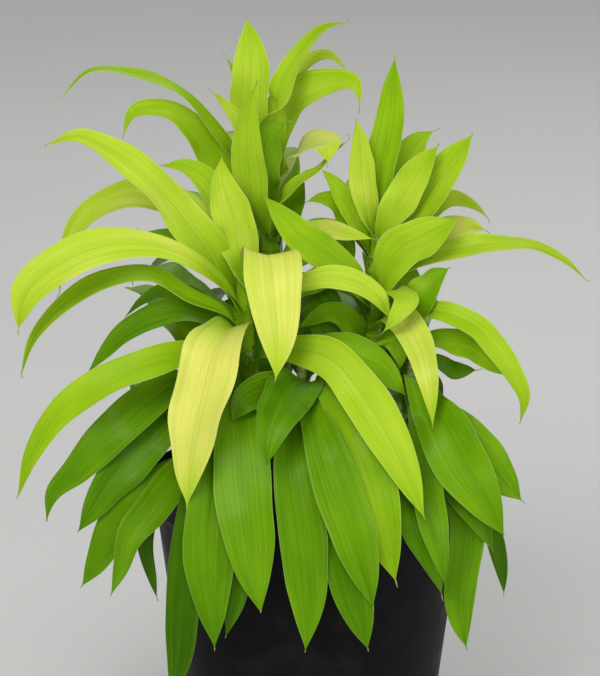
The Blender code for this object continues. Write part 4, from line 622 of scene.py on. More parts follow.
def hidden_route(cane, number, count, chance):
    """Points of a leaf that grows by rule: older and lower ones leave the cane flatter and hang."""
    _foot, (_across, _out, top), lowest, _radius = CANES[cane]
    _count, start, end, lengths = HIDDEN_LEAVES[cane]
    share = (number + 0.5) / count
    bottom = max(lowest + LOWEST_ABOVE, LOWEST_RISE)
    heading = start + (end - start) * ((number * GOLDEN_TURN) % 1.0)
    heading = math.radians(heading + chance.uniform(-HEADING_STRAY, HEADING_STRAY))
    length = chance.uniform(*lengths) * CM * (1.0 - YOUNGER_SHORTER * share)
    pitch = strayed(PITCH, share, chance)
    bend = strayed(BEND, share, chance)
    point = cane_axis(cane, bottom + (top - HIGHEST_BELOW - bottom) * share)
    route = [point]
    for piece in range(HIDDEN_PIECES):
        bent = bend * ((piece + BEND_START) / HIDDEN_PIECES) ** BEND_POWER
        slope = max(pitch - bent, STEEPEST_HANG)
        ahead = np.array((math.cos(heading), math.sin(heading), 0.0)) * math.cos(slope)
        point = point + (ahead + np.array((0.0, 0.0, math.sin(slope)))) * length / HIDDEN_PIECES
        route.append(point)
    return route, share


def root_in_stem(route, radius):
    """Route whose first point lies between the stem's axis and its surface, on the leaf's own side."""
    ahead = route[1] - route[0]
    ahead = unit(np.array((ahead[0], ahead[1], 0.0)))
    return [route[0] + ahead * radius * ROOT_DEPTH] + list(route[1:])


def planned_leaves(chance):
    """Route, width and look of every leaf: those of the table, then those that grow by rule."""
    for cane, rise, width, belly, face, tone, points in LEAVES:
        route = [cane_axis(cane, rise)] + [spot(*point) for point in points]
        yield cane, route, width, belly, face, tone
    for cane, (count, _start, _end, _lengths) in HIDDEN_LEAVES.items():
        for number in range(count):
            route, share = hidden_route(cane, number, count, chance)
            tone = HIDDEN_TONES[0] + (HIDDEN_TONES[1] - HIDDEN_TONES[0]) * share
            yield cane, route, chance.uniform(*HIDDEN_WIDTHS), HIDDEN_BELLY, 0.0, tone


def all_leaves():
    """Every leaf's cane, midrib points, frames, width and tone, before the leaves settle."""
    chance = random.Random(SEED)
    plans = list(planned_leaves(chance))
    leaves = []
    for cane, route, width, belly, face, tone in plans:
        centres = smooth_route(root_in_stem(route, CANES[cane][3] * CM), BLADE_ROWS)
        sides, normals = blade_frames(centres, face)
        leaves.append({"cane": cane, "width": width * CM, "belly": belly, "tone": tone, "centres": centres,
                       "sides": sides, "normals": normals, "phase": chance.uniform(0.0, 2 * math.pi)})
    return leaves


def outline_share(leaf, t):
    """Share of a leaf's greatest width at a place along it."""
    places, shares = zip(*BLADE_OUTLINE)
    return np.interp(t ** (math.log(WIDEST) / math.log(leaf["belly"])), places, shares)


def trough(t):
    """Slope of the blade's two halves at a place along it."""
    return TROUGH_AT_ROOT - TROUGH_OPENS * np.minimum(1.0, t / TROUGH_REACH)


def slow_wave(leaf, t):
    """The slow wave of a blade's edges at a place along it."""
    return WAVE_HEIGHT * np.sin(leaf["phase"] + t * WAVE_TURNS) * np.sin(math.pi * t)


def blade_lift(leaf, t, across):
    """Height of the blade above its midrib as a share of its half width: trough and slow wave."""
    return trough(t) * abs(across) + slow_wave(leaf, t) * across


def blade_point(leaf, row, across):
    """Point of the blade's middle surface; across runs from -1 to 1 between its edges."""
    t = row / (BLADE_ROWS - 1)
    half = leaf["width"] / 2 * outline_share(leaf, t)
    over = leaf["sides"][row] * across + leaf["normals"][row] * blade_lift(leaf, t, across)
    return leaf["centres"][row] + over * half


def fat_blade(leaf):
    """Corner points of the blade thickened to SETTLE_GAP, upper face first."""
    grid = [[blade_point(leaf, row, across) for across in (-1, 0, 1)] for row in range(BLADE_ROWS)]
    grid = np.array(grid)
    offset = leaf["normals"][:, None, :] * (SETTLE_GAP / 2)
    return np.concatenate(((grid + offset).reshape(-1, 3), (grid - offset).reshape(-1, 3)))


def fat_faces():
    """Triangles of one thickened blade and the row of each."""
    faces, rows = [], []
    under = BLADE_ROWS * 3
    for row in range(BLADE_ROWS - 1):
        for column in range(2):
            a = row * 3 + column
            for corners in ((a, a + 1, a + 4), (a, a + 4, a + 3)):
                faces.append(corners)
                faces.append(tuple(corner + under for corner in corners))
                rows += [row, row]
        for edge in (row * 3, row * 3 + 2):
            faces.append((edge, edge + 3, edge + 3 + under))
            faces.append((edge, edge + 3 + under, edge + under))
            rows += [row, row]
    return faces, rows


def level_ring(middle, radius, sides):
    """Level ring of points round a middle."""
    turns = [2 * math.pi * k / sides for k in range(sides)]
    return [middle + np.array((math.cos(turn), math.sin(turn), 0.0)) * radius for turn in turns]


def sleeve_faces(rings, sides):
    """Triangles that join level rings of points one after another."""
    faces = []
    for ring in range(rings - 1):
        for k in range(sides):
            a = ring * sides + k
            b = ring * sides + (k + 1) % sides
            faces += [(a, b, b + sides), (a, b + sides, a + sides)]
    return faces


def sleeve(rings, sides):
    """Points and triangles of a sleeve through level rings of (middle, radius)."""
    points = [point for middle, radius in rings for point in level_ring(middle, radius, sides)]
    return points, sleeve_faces(len(rings), sides)


def obstacles():
    """What leaves settle against: each cane's sleeve, the pot's rim and wall, and the soil."""
    found = []
    for cane, (_foot, (_across, _out, top), _lowest, radius) in CANES.items():
        rises = np.linspace(SLEEVE_FOOT, top, SLEEVE_RINGS)
        rings = [(cane_axis(cane, rise), radius * CM * SLEEVE_SWELL) for rise in rises]
        found.append((cane, *sleeve(rings, SLEEVE_SIDES)))
    axis = np.array((0.0, 0.0, 1.0))
    inside = RIM_RADIUS - 2 * WALL
    brim = POT_HEIGHT + POT_BERTH
    rings = ((inside, SOIL_HEIGHT), (inside + POT_BERTH, brim), (RIM_RADIUS + BRIM_BERTH, brim),
             (RIM_RADIUS + ROLL, COLLAR_BOTTOM), (BASE_RADIUS + POT_BERTH, 0.0))
    found.append(("pot", *sleeve([(axis * z, radius) for radius, z in rings], POT_SIDES)))
    crest = axis * (SOIL_HEIGHT + MOUND + SOIL_BERTH)
    radii = (POT_BERTH, inside / 2, inside)
    found.append(("soil", *sleeve([(crest, radius) for radius in radii], SOIL_SIDES)))
    return found


def away_from(name, middle):
    """Direction that takes a leaf off an obstacle."""
    if name == "soil":
        return np.array((0.0, 0.0, 1.0))
    if name == "pot":
        lift = LIFT_OVER_RIM if middle[2] > LIFT_FROM else 0.0
        return unit(np.array((middle[0], middle[1], 0.0))) + np.array((0.0, 0.0, lift))
    axis = cane_axis(name, (middle[2] - SIGHT_LEVEL) / CM)
    return unit(np.array((middle[0] - axis[0], middle[1] - axis[1], 0.0)))


def side_of(first, second, row):
    """1 where the first blade lies above the second near the row where they meet, else -1."""
    total = 0.0
    for near in range(max(0, row - NEAR_ROWS), min(BLADE_ROWS, row + NEAR_ROWS + 1)):
        point = first["centres"][near]
        other = int(np.argmin(np.linalg.norm(second["centres"] - point, axis=1)))
        total += float(np.dot(point - second["centres"][other], second["normals"][other]))
    return 1.0 if total >= 0.0 else -1.0


def gather_faces(leaves):
    """Triangles of all thick blades and of the obstacles, with the owner and row of each."""
    one_faces, one_rows = fat_faces()
    corners = BLADE_ROWS * 6
    faces, owners, rows = [], [], []
    for number in range(len(leaves)):
        faces += [tuple(c + number * corners for c in face) for face in one_faces]
        owners += [number] * len(one_faces)
        rows += one_rows
    fixed_points, fixed_names = [], []
    for name, points, fixed_faces in obstacles():
        start = len(leaves) * corners + len(fixed_points)
        fixed_names.append(name)
        fixed_points += [point.tolist() for point in points]
        faces += [tuple(c + start for c in face) for face in fixed_faces]
        owners += [-len(fixed_names)] * len(fixed_faces)
        rows += [0] * len(fixed_faces)
    return faces, owners, rows, fixed_points, fixed_names


def push_from_obstacle(push, leaves, number, row, name):
    """Push a leaf's row off an obstacle, unless its root grows there."""
    leaf = leaves[number]
    if name != leaf["cane"] or row > OWN_ROOT_ROWS:
        middle = (leaf["centres"][row] + leaf["centres"][row + 1]) / 2
        push[number, row:row + 2] += away_from(name, middle)


def push_apart(push, leaves, pair, rows, above):
    """Push two leaves apart where they meet, except near a root that they share."""
    first, second = (leaves[number] for number in pair)
    if first["cane"] == second["cane"] and min(rows) < OWN_ROOT_ROWS:
        return
    if pair not in above:
        above[pair] = side_of(first, second, rows[0])
    away = second["normals"][rows[1]] * above[pair]
    push[pair[0], rows[0]:rows[0] + 2] += away
    push[pair[1], rows[1]:rows[1] + 2] -= away


def spread_push(push):
    """Pushes shared with the rows beside them, and cut to one stride."""
    push = push / np.maximum(np.linalg.norm(push, axis=2, keepdims=True), 1.0)
    for _pass in range(SPREAD_PASSES):
        padded = np.concatenate((push[:, :1], push, push[:, -1:]), axis=1)
        push = SHARED_PUSH * padded[:, :-2] + (1 - 2 * SHARED_PUSH) * push + SHARED_PUSH * padded[:, 2:]
    size = np.maximum(np.linalg.norm(push, axis=2, keepdims=True), LEAST_PUSH)
    return push * SETTLE_STRIDE * np.minimum(1.0, size * FULL_STRIDE) / size


def settle(leaves):
    """Bend the leaves apart where they meet each other, a cane or the pot, roots held fast."""
    faces, owners, face_rows, fixed_points, fixed_names = gather_faces(leaves)
    hold = np.clip((np.arange(BLADE_ROWS) - HELD_ROWS) / LOOSENING_ROWS, 0.0, 1.0)[:, None]
    above = {}
    for _step in range(SETTLE_STEPS):
        points = [point for leaf in leaves for point in fat_blade(leaf).tolist()]
        tree = BVHTree.FromPolygons(points + fixed_points, faces, all_triangles=True)
        push = np.zeros((len(leaves), BLADE_ROWS, 3))
        for face_a, face_b in tree.overlap(tree):
            a, b = owners[face_a], owners[face_b]
            if a < 0 or a == b or (b >= 0 and a > b):
                continue
            if b < 0:
                push_from_obstacle(push, leaves, a, face_rows[face_a], fixed_names[-1 - b])
            else:
                push_apart(push, leaves, (a, b), (face_rows[face_a], face_rows[face_b]), above)
        if not push.any():
            break
        for leaf, stride in zip(leaves, spread_push(push)):
            leaf["centres"] = leaf["centres"] + stride * hold


def smoothed(values, stops):
    """Smooth values between a leaf's rows; a stop of 0 is the root and 1 the tip."""
    rows = np.vstack((2 * values[0] - values[1], values, 2 * values[-1] - values[-2]))
    place = stops * (len(values) - 1)
    row = np.minimum(place.astype(int), len(values) - 2)
    t = (place - row)[:, None]
    a, b, c, d = (rows[row + k] for k in range(4))
    return on_curve(a, b, c, d, t)


def unit_rows(rows):
    """Rows of vectors, each of length one."""
    return rows / np.maximum(np.linalg.norm(rows, axis=1, keepdims=True), LEAST_LENGTH)


def smooth_outline(leaf, stops):
    """Share of the greatest width at each stop, with the corners of the outline rounded off."""
    near = [np.clip(stops + shift, 0.0, 1.0) for shift in CORNER_STEPS]
    rounded = sum(outline_share(leaf, place) for place in near) / len(near)
    ends = np.clip(np.minimum(stops, 1.0 - stops) / CORNER_ENDS, 0.0, 1.0)
    exact = outline_share(leaf, stops)
    return np.maximum(exact + (rounded - exact) * ends, TIP_SHARE)


def swayed_midrib(leaf, stops, places, chance):
    """Middle, side and upper normal at each fine row: a little sway, a hooked tip and a twist."""
    swell = np.sin(np.pi * stops)
    sides = unit_rows(smoothed(leaf["sides"], places))
    normals = unit_rows(smoothed(leaf["normals"], places))
    sway = np.sin(leaf["phase"] + stops * chance.uniform(*SWAY_TURNS)) * swell
    sway = sway * chance.uniform(0.0, SWAY_REACH)
    to_tip = np.clip((stops - HOOK_START) / (1.0 - HOOK_START), 0.0, 1.0)
    hook = chance.uniform(-TIP_HOOK, TIP_HOOK) * to_tip ** 2
    centres = smoothed(leaf["centres"], places) + sides * (sway + hook)[:, None]
    twist = np.sin(leaf["phase"] * 3.0 + stops * chance.uniform(*TWIST_TURNS)) * swell
    twist = (twist * chance.uniform(*TWISTS))[:, None]
    turned = sides * np.cos(twist) + normals * np.sin(twist)
    return centres, turned, normals * np.cos(twist) - sides * np.sin(twist)


def waved_section(leaf, stops, chance):
    """How far each point lies beside and above the midrib, as shares of the blade's half width."""
    swell = np.sin(np.pi * stops)
    across = np.linspace(-1.0, 1.0, FINE_COLUMNS + 1)
    fold = np.sqrt(across ** 2 + FOLD_ROUND ** 2) - FOLD_ROUND
    lift = trough(stops)[:, None] * fold + slow_wave(leaf, stops)[:, None] * across
    spread = np.repeat(across[None], len(stops), axis=0)
    for edge in (-1.0, 1.0):
        outer = np.clip(across * edge, 0.0, 1.0) ** 2.0
        waves = uneven_wave(stops, EDGE_WAVE_TURNS, chance) * chance.uniform(*EDGE_WAVES)
        bites = uneven_wave(stops, EDGE_BITE_TURNS, chance) * chance.uniform(*EDGE_BITES)
        lift = lift + (waves * (DEEP_GREEN_WAVE + leaf["tone"]) * swell)[:, None] * outer
        spread = spread + (bites * swell)[:, None] * outer * edge
    return across, spread, lift


def leaf_points(leaf, box, chance):
    """Grid of points of one leaf's middle surface, root to dry thread, edge to edge."""
    stops = np.linspace(0.0, 1.0, FINE_ROWS + 1 - THREAD_ROWS) ** ROW_SPACING
    thread = chance.uniform(*THREAD_LENGTHS)
    reach = np.linalg.norm(np.diff(leaf["centres"], axis=0), axis=1).sum()
    centres, sides, normals = swayed_midrib(leaf, stops, stops * (1.0 - thread / reach), chance)
    half = leaf["width"] / 2 * smooth_outline(leaf, stops ** chance.uniform(*OUTLINE_SHIFTS))
    across, spread, lift = waved_section(leaf, stops, chance)
    over = sides[:, None] * spread[..., None] + normals[:, None] * lift[..., None]
    grid = centres[:, None] + half[:, None, None] * over
    clasp_stem(leaf, grid, stops, across)
    tip = dry_thread(centres, sides, normals, half[-1], across, thread, chance)
    return kept_in_box(np.concatenate((grid, tip)), box)


def uneven_wave(stops, turns, chance):
    """Wave whose height swells and fades unevenly along a leaf's edge."""
    wave = np.sin(chance.uniform(0.0, 2 * math.pi) + stops * chance.uniform(*turns))
    slower = np.sin(chance.uniform(0.0, 2 * math.pi) + stops * chance.uniform(*WAVE_SWELL_TURNS))
    return wave * (WAVE_SWELL[0] + WAVE_SWELL[1] * slower)


def kept_in_box(grid, box):
    """The leaf with its outer part moved back by as much as it would pass the solids' box."""
    low = np.array(box[0]) + FINE_THICKNESS
    high = np.array(box[1]) - FINE_THICKNESS
    short = np.maximum(low - grid.min(axis=(0, 1)), 0.0)
    past = np.maximum(grid.max(axis=(0, 1)) - high, 0.0)
    hold = np.clip(np.linspace(0.0, 1.0, len(grid)) / BOX_EASE, 0.0, 1.0)
    return grid + hold[:, None, None] * (short - past)


def clasp_stem(leaf, grid, stops, across):
    """Wrap the foot of a leaf round its stem."""
    cane = leaf["cane"]
    root = leaf["centres"][0]
    axis = cane_axis(cane, (root[2] - SIGHT_LEVEL) / CM)
    radius = CANES[cane][3] * CM * CLASP_ROOM
    ahead = unit((leaf["centres"][1] - axis) * np.array((1.0, 1.0, 0.0)))
    beside = np.cross(ahead, (0.0, 0.0, 1.0))
    turns = across * CLASP_TURN
    for row, stop in enumerate(stops):
        if stop >= CLASP:
            break
        hold = (1.0 - stop / CLASP) ** 2
        middle = axis + np.array((0.0, 0.0, stop / CLASP * CLASP_RISE - CLASP_DROP))
        ring = middle + radius * (np.cos(turns)[:, None] * ahead + np.sin(turns)[:, None] * beside)
        grid[row] += (ring - grid[row]) * hold


def dry_thread(centres, sides, normals, half, across, length, chance):
    """Rows of the thin dry thread that curls on from a leaf's tip."""
    curl = math.radians(chance.uniform(*THREAD_CURLS)) * chance.choice(THREAD_SIDES)
    ahead = unit(centres[-1] - centres[-2])
    point = centres[-1]
    rows = []
    for row in range(1, THREAD_ROWS + 1):
        turn = curl * (row / THREAD_ROWS) ** THREAD_CURL_POWER
        heading = ahead * math.cos(turn) + normals[-1] * math.sin(turn)
        point = point + heading * length / THREAD_ROWS
        narrow = half * (1.0 - THREAD_NARROWS * row / THREAD_ROWS)
        rows.append(point + sides[-1] * across[:, None] * narrow)
    return np.array(rows)


def select_only(*pieces):
    """Select these pieces alone, the first one active."""
    bpy.ops.object.select_all(action="DESELECT")
    for piece in pieces:
        piece.select_set(True)
    bpy.context.view_layer.objects.active = pieces[0]


def joined(name, *pieces):
    """Pieces joined into the first one, under a name of its own."""
    select_only(*pieces)
    bpy.ops.object.join()
    pieces[0].name = name
    pieces[0].data.name = name
    return pieces[0]


def own_copy(piece):
    """Copy of a piece, with its own mesh."""
    copy = piece.copy()
    copy.data = piece.data.copy()
    bpy.context.scene.collection.objects.link(copy)
    return copy


def keep_value(piece, name, value):
    """Give all points of a piece one value that its material can read."""
    attribute = piece.data.attributes.new(name, "FLOAT", "POINT")
    attribute.data.foreach_set("value", np.full(len(piece.data.vertices), value, np.float32))


def leaf_blank():
    """One flat straight leaf, a grid with its UV map, that every leaf is copied from."""
    bpy.ops.object.select_all(action="DESELECT")
    bpy.ops.mesh.primitive_grid_add(x_subdivisions=FINE_COLUMNS, y_subdivisions=FINE_ROWS, size=2.0)
    blank = bpy.context.object
    blank.name = "leaf_blank"
    places = np.zeros(len(blank.data.vertices) * 3)
    blank.data.vertices.foreach_get("co", places)
    places = places.reshape(-1, 3)
    columns = np.rint((places[:, 0] + 1.0) / 2.0 * FINE_COLUMNS).astype(int)
    rows = np.rint((places[:, 1] + 1.0) / 2.0 * FINE_ROWS).astype(int)
    return blank, rows, columns


def grow_leaf(blank, rows, columns, leaf, box, chance):
    """Copy of the blank bent into one leaf, which keeps its tone and its own chance number."""
    blade = own_copy(blank)
    points = leaf_points(leaf, box, chance)[rows, columns]
    blade.data.vertices.foreach_set("co", points.ravel())
    keep_value(blade, "tone", leaf["tone"])
    keep_value(blade, "chance", chance.random())
    return blade


def thicken(sheet):
    """Give the leaves of a sheet their thickness, the underside in the next material."""
    select_only(sheet)
    solid = sheet.modifiers.new("thickness", "SOLIDIFY")
    solid.thickness = FINE_THICKNESS
    solid.offset = 0.0
    solid.material_offset = 1
    bpy.ops.object.modifier_apply(modifier=solid.name)


def on_axis(profile):
    """Rings on the pot's axis from (height, radius) pairs."""
    return [((0, 0, float(z)), float(radius)) for z, radius in profile]


def raise_rings(name, rings, sides):
    """Closed round piece raised ring by ring: each ring is extruded from the last and resized."""
    bpy.ops.object.select_all(action="DESELECT")
    centre, radius = rings[0]
    bpy.ops.mesh.primitive_circle_add(vertices=sides, radius=radius, fill_type="NGON", location=centre)
    piece = bpy.context.object
    piece.name = name
    bpy.ops.object.mode_set(mode="EDIT")
    bpy.ops.mesh.select_all(action="SELECT")
    for (before, old), (centre, radius) in zip(rings, rings[1:]):
        step = Vector(centre) - Vector(before)
        bpy.ops.mesh.extrude_region_move(TRANSFORM_OT_translate={"value": step})
        bpy.ops.transform.resize(value=(radius / old, radius / old, 1.0), center_override=centre)
    bpy.ops.mesh.select_all(action="SELECT")
    bpy.ops.mesh.normals_make_consistent(inside=False)
    bpy.ops.object.mode_set(mode="OBJECT")
    bpy.ops.object.transform_apply(location=True, rotation=True, scale=True)
    bpy.ops.object.shade_smooth_by_angle(angle=SMOOTH_ANGLE)
    return piece


def stem_rings(cane, start, end, taper):
    """Rings of a stem between two rises in cm, with a low ridge at each leaf scar."""
    radius = CANES[cane][3] * CM
    count = int((end - start) * CM / SCAR_SPACING) + 1
    rings = []
    for scar in range(count):
        for share, swell in SCAR_SHAPE:
            along = (scar + share) / count
            place = cane_axis(cane, start + (end - start) * along)
            rings.append((tuple(place), radius * swell * (1.0 - taper * along)))
    return rings


def make_foliage(cane, leaves, blank, rows, columns, box, finishes, chance):
    """All that is green on one cane: its leafy stem and its leaves."""
    blades = [grow_leaf(blank, rows, columns, leaf, box, chance) for leaf in leaves]
    sheet = joined("foliage_" + cane, *blades)
    sheet.data.materials.clear()
    for finish in finishes:
        sheet.data.materials.append(finish)
    thicken(sheet)
    top = CANES[cane][1][2]
    rings = stem_rings(cane, CANES[cane][2], top + STEM_TOP, STEM_TAPER)
    stem = raise_rings("stem_" + cane, rings, STEM_SIDES)
    stem.data.materials.append(finishes[-1])
    joined(sheet.name, sheet, stem)
    bpy.ops.object.shade_smooth_by_angle(angle=LEAF_SMOOTH_ANGLE)
    return sheet


def make_woody_cane(cane):
    """Bare cane with its ridged leaf scars, from the bottom of its hole to its green shoot."""
    foot = (SOIL_HEIGHT - CANE_DEPTH - SIGHT_LEVEL) / CM
    return raise_rings("woody_cane_" + cane, stem_rings(cane, foot, CANES[cane][2], 0.0), STEM_SIDES)


def make_bark_mix():
    """Potting mix: down to the pot's floor, mounded and crumbly on top."""
    edge = RIM_RADIUS - WALL - RIM_ROOM
    low, high = (COLLAR_BOTTOM + rise for rise in SHOULDER)
    foot, neck = (wall_radius(z) - WALL - MIX_ROOM for z in (FLOOR_THICKNESS, COLLAR_BOTTOM))
    profile = [(FLOOR_THICKNESS + FIT_GAP, foot), (low, neck), (high, edge),
               (SOIL_HEIGHT - EDGE_DROP, edge)]
    profile += [(mound_height(edge * share), edge * share) for share in np.linspace(*MOUND_SHARES)]
    piece = raise_rings("bark_mix", on_axis(profile), ROUND_SIDES)
    top = piece.vertex_groups.new(name="top")
    inner = [v.index for v in piece.data.vertices if v.co.z > SOIL_HEIGHT + LEVEL_EDGE]
    top.add(inner, 1.0, "REPLACE")
    for size, strength in MIX_LUMPS:
        lumps = bpy.data.textures.new("lumps", "CLOUDS")
        lumps.noise_scale = size
        displace = piece.modifiers.new("crumbs", "DISPLACE")
        displace.texture = lumps
        displace.strength = strength
        displace.mid_level = 0.5
        displace.direction = "Z"
        displace.vertex_group = "top"
        bpy.ops.object.modifier_apply(modifier=displace.name)
    return piece


def mound_height(radius):
    """Height of the potting mix at a distance from the pot's axis."""
    share = radius / (RIM_RADIUS - WALL)
    return SOIL_HEIGHT + MOUND * (1.0 - share ** 3)


def wall_radius(z):
    """Outer radius of the pot's wall below its collar."""
    return BASE_RADIUS + (COLLAR_RADIUS - BASE_RADIUS) * z / COLLAR_BOTTOM


def crumb_blank(name, size, shape):
    """One rough crumb, a small block made uneven, that the others are copied from."""
    bpy.ops.object.select_all(action="DESELECT")
    bpy.ops.mesh.primitive_cube_add(size=size)
    crumb = bpy.context.object
    crumb.name = name
    bpy.ops.object.mode_set(mode="EDIT")
    bpy.ops.mesh.select_all(action="SELECT")
    bpy.ops.transform.resize(value=shape)
    bpy.ops.mesh.subdivide(number_cuts=1)
    bpy.ops.transform.vertex_random(offset=size * CRUMB_ROUGHNESS, seed=CRUMB_SEED)
    bpy.ops.object.mode_set(mode="OBJECT")
    return crumb


def strew(name, crumb, count, sizes, flat, chance):
    """Copies of a crumb strewn over the potting mix between the canes."""
    feet = [(across * CM, -out * CM) for (across, out), _top, _lowest, _radius in CANES.values()]
    copies = []
    while len(copies) < count:
        turn = chance.uniform(0.0, 2 * math.pi)
        radius = math.sqrt(chance.random()) * (RIM_RADIUS - RIM_BERTH)
        x, y = radius * math.cos(turn), radius * math.sin(turn)
        if any(math.hypot(x - a, y - b) < CANE_BERTH for a, b in feet):
            continue
        copy = own_copy(crumb)
        size = chance.uniform(*sizes)
        lean = [chance.uniform(-flat, flat) for _axis in range(2)] + [chance.uniform(0, ANY_TURN)]
        copy.data.transform(Euler(lean).to_matrix().to_4x4() * size)
        copy.data.transform(Matrix.Translation((x, y, mound_height(radius) + CRUMB_LIFT)))
        keep_value(copy, "chance", chance.random())
        copies.append(copy)
    bpy.data.objects.remove(crumb)
    return joined(name, *copies)


def pot_profile():
    """Heights and radii of the pot: up its outer wall, over its rolled rim and down inside."""
    inner = RIM_RADIUS - WALL
    under = COLLAR_BOTTOM - COLLAR_EASE
    profile = [(FOOT_STEPS[0][0], FLOOR_MIDDLE)] + [(z, BASE_RADIUS - inset) for z, inset in FOOT_STEPS]
    heights = [FOOT_TOP, *np.linspace(WALL_START, WALL_END, WALL_RINGS), under]
    profile += [(z, wall_radius(z)) for z in heights]
    profile += [(COLLAR_BOTTOM + rise, radius) for rise, radius in COLLAR_STEPS]
    for turn in np.radians(np.linspace(*ROLL_TURNS)):
        profile.append((POT_HEIGHT - ROLL_HEIGHT + ROLL_HEIGHT * math.sin(turn),
                        RIM_RADIUS - ROLL_INSET + ROLL_WIDTH * math.cos(turn)))
    heel = FLOOR_THICKNESS + HEEL_RISE
    return profile + [(POT_HEIGHT - ROLL_BOTTOM, inner), (COLLAR_BOTTOM + NECK[0], inner - NECK[1]),
                      (COLLAR_BOTTOM, wall_radius(COLLAR_BOTTOM) - WALL), (heel, wall_radius(heel) - WALL),
                      (FLOOR_THICKNESS, wall_radius(FLOOR_THICKNESS) - WALL - HEEL_INSET),
                      (FLOOR_THICKNESS, FLOOR_MIDDLE)]


def make_nursery_pot():
    """Blown nursery pot: collar, rolled rim, tapered wall and a floor with drain holes."""
    pot = raise_rings("nursery_pot", on_axis(pot_profile()), ROUND_SIDES)
    drill_drains(pot)
    return pot


def drill_drains(pot):
    """Cut the ring of drain holes through the pot's floor."""
    drills = []
    for hole in range(DRAIN_HOLES):
        turn = 2 * math.pi * (hole + 0.5) / DRAIN_HOLES
        place = (DRAIN_CIRCLE * math.cos(turn), DRAIN_CIRCLE * math.sin(turn), 0.0)
        bpy.ops.object.select_all(action="DESELECT")
        bpy.ops.mesh.primitive_cylinder_add(vertices=DRILL_SIDES, radius=DRAIN_RADIUS, depth=DRILL_DEPTH,
                                            location=place)
        drills.append(bpy.context.object)
    drill = joined("drill", *drills)
    select_only(pot)
    holes = pot.modifiers.new("drains", "BOOLEAN")
    holes.operation = "DIFFERENCE"
    holes.object = drill
    bpy.ops.object.modifier_apply(modifier=holes.name)
    bpy.data.objects.remove(drill)
    bpy.ops.object.shade_smooth_by_angle(angle=SMOOTH_ANGLE)


def add_node(tree, kind, inputs, **settings):
    """Shader node with its settings; each input is a value or another node's output."""
    made = tree.nodes.new("ShaderNode" + kind)
    for name, value in settings.items():
        setattr(made, name, value)
    for name, value in inputs.items():
        if isinstance(value, bpy.types.NodeSocket):
            tree.links.new(value, made.inputs[name])
        else:
            made.inputs[name].default_value = value
    return made


def calc(tree, operation, *values, clamp=False):
    """Output of a Math node on up to three values."""
    return add_node(tree, "Math", dict(enumerate(values)), operation=operation, use_clamp=clamp).outputs[0]


def fade(tree, value, low, high, to_low=0.0, to_high=1.0):
    """Smooth change from one number to another while a value runs from low to high."""
    inputs = {0: value, 1: low, 2: high, 3: to_low, 4: to_high}
    return add_node(tree, "MapRange", inputs, interpolation_type="SMOOTHSTEP").outputs[0]


def opaque(colour):
    """Colour with its alpha, or the output that gives it."""
    return (*colour, 1.0) if isinstance(colour, tuple) else colour


def mix(tree, share, first, second):
    """Two colours mixed."""
    inputs = {0: share, 6: opaque(first), 7: opaque(second)}
    return add_node(tree, "Mix", inputs, data_type="RGBA").outputs[2]


def ramp(tree, value, stops):
    """Colour looked up on a ramp of (place, colour)."""
    made = add_node(tree, "ValToRGB", {0: value})
    elements = made.color_ramp.elements
    while len(elements) < len(stops):
        elements.new(0.5)
    for element, (place, colour) in zip(elements, stops):
        element.position = place
        element.color = opaque(colour)
    return made.outputs[0]


def parts_of(tree, place):
    """The three values of a point."""
    return add_node(tree, "SeparateXYZ", {0: place}).outputs


def stretched(tree, place, scales):
    """Point put together from three values, each times its own scale."""
    parts = [calc(tree, "MULTIPLY", value, scale) for value, scale in zip(place, scales)]
    return add_node(tree, "CombineXYZ", dict(enumerate(parts))).outputs[0]


def level_rings(tree, z, scale):
    """Point that changes with the height alone, for noises that run round a piece in rings."""
    return stretched(tree, (0.0, 0.0, z), (0.0, 0.0, scale))


def grain(tree, where, scale, detail=2.0, roughness=0.5):
    """Soft noise from 0 to 1."""
    inputs = {"Vector": where, "Scale": scale, "Detail": detail, "Roughness": roughness}
    return add_node(tree, "TexNoise", inputs).outputs[0]


def new_group(name, inputs, outputs):
    """Node group with named inputs and outputs; returns its tree, its inputs and its output node."""
    tree = bpy.data.node_groups.new(name, "ShaderNodeTree")
    for sockets, way in ((inputs, "INPUT"), (outputs, "OUTPUT")):
        for label, kind in sockets.items():
            tree.interface.new_socket(label, in_out=way, socket_type="NodeSocket" + kind)
    return tree, tree.nodes.new("NodeGroupInput").outputs, tree.nodes.new("NodeGroupOutput")


def send(tree, leave, **results):
    """Link results to a group's outputs."""
    for label, value in results.items():
        tree.links.new(value, leave.inputs[label])


def tone_along(tree, along, tone, streaks, patches):
    """Tone over a blade: darker to the tip, most of all on a pale leaf, and nearer ROOT_TONE below."""
    drop = calc(tree, "MINIMUM", calc(tree, "SUBTRACT", TIP_TONE, tone), LEAST_DROP)
    shift = calc(tree, "MULTIPLY", drop, fade(tree, along, *TIP_FADE))
    to_root = calc(tree, "SUBTRACT", ROOT_TONE, tone)
    shift = calc(tree, "MULTIPLY_ADD", to_root, fade(tree, along, *ROOT_FADE), shift)
    for marks, strength in zip((streaks, patches), TONE_SHIFTS):
        shift = calc(tree, "MULTIPLY_ADD", calc(tree, "SUBTRACT", marks, 0.5), strength, shift)
    return calc(tree, "ADD", tone, shift, clamp=True)


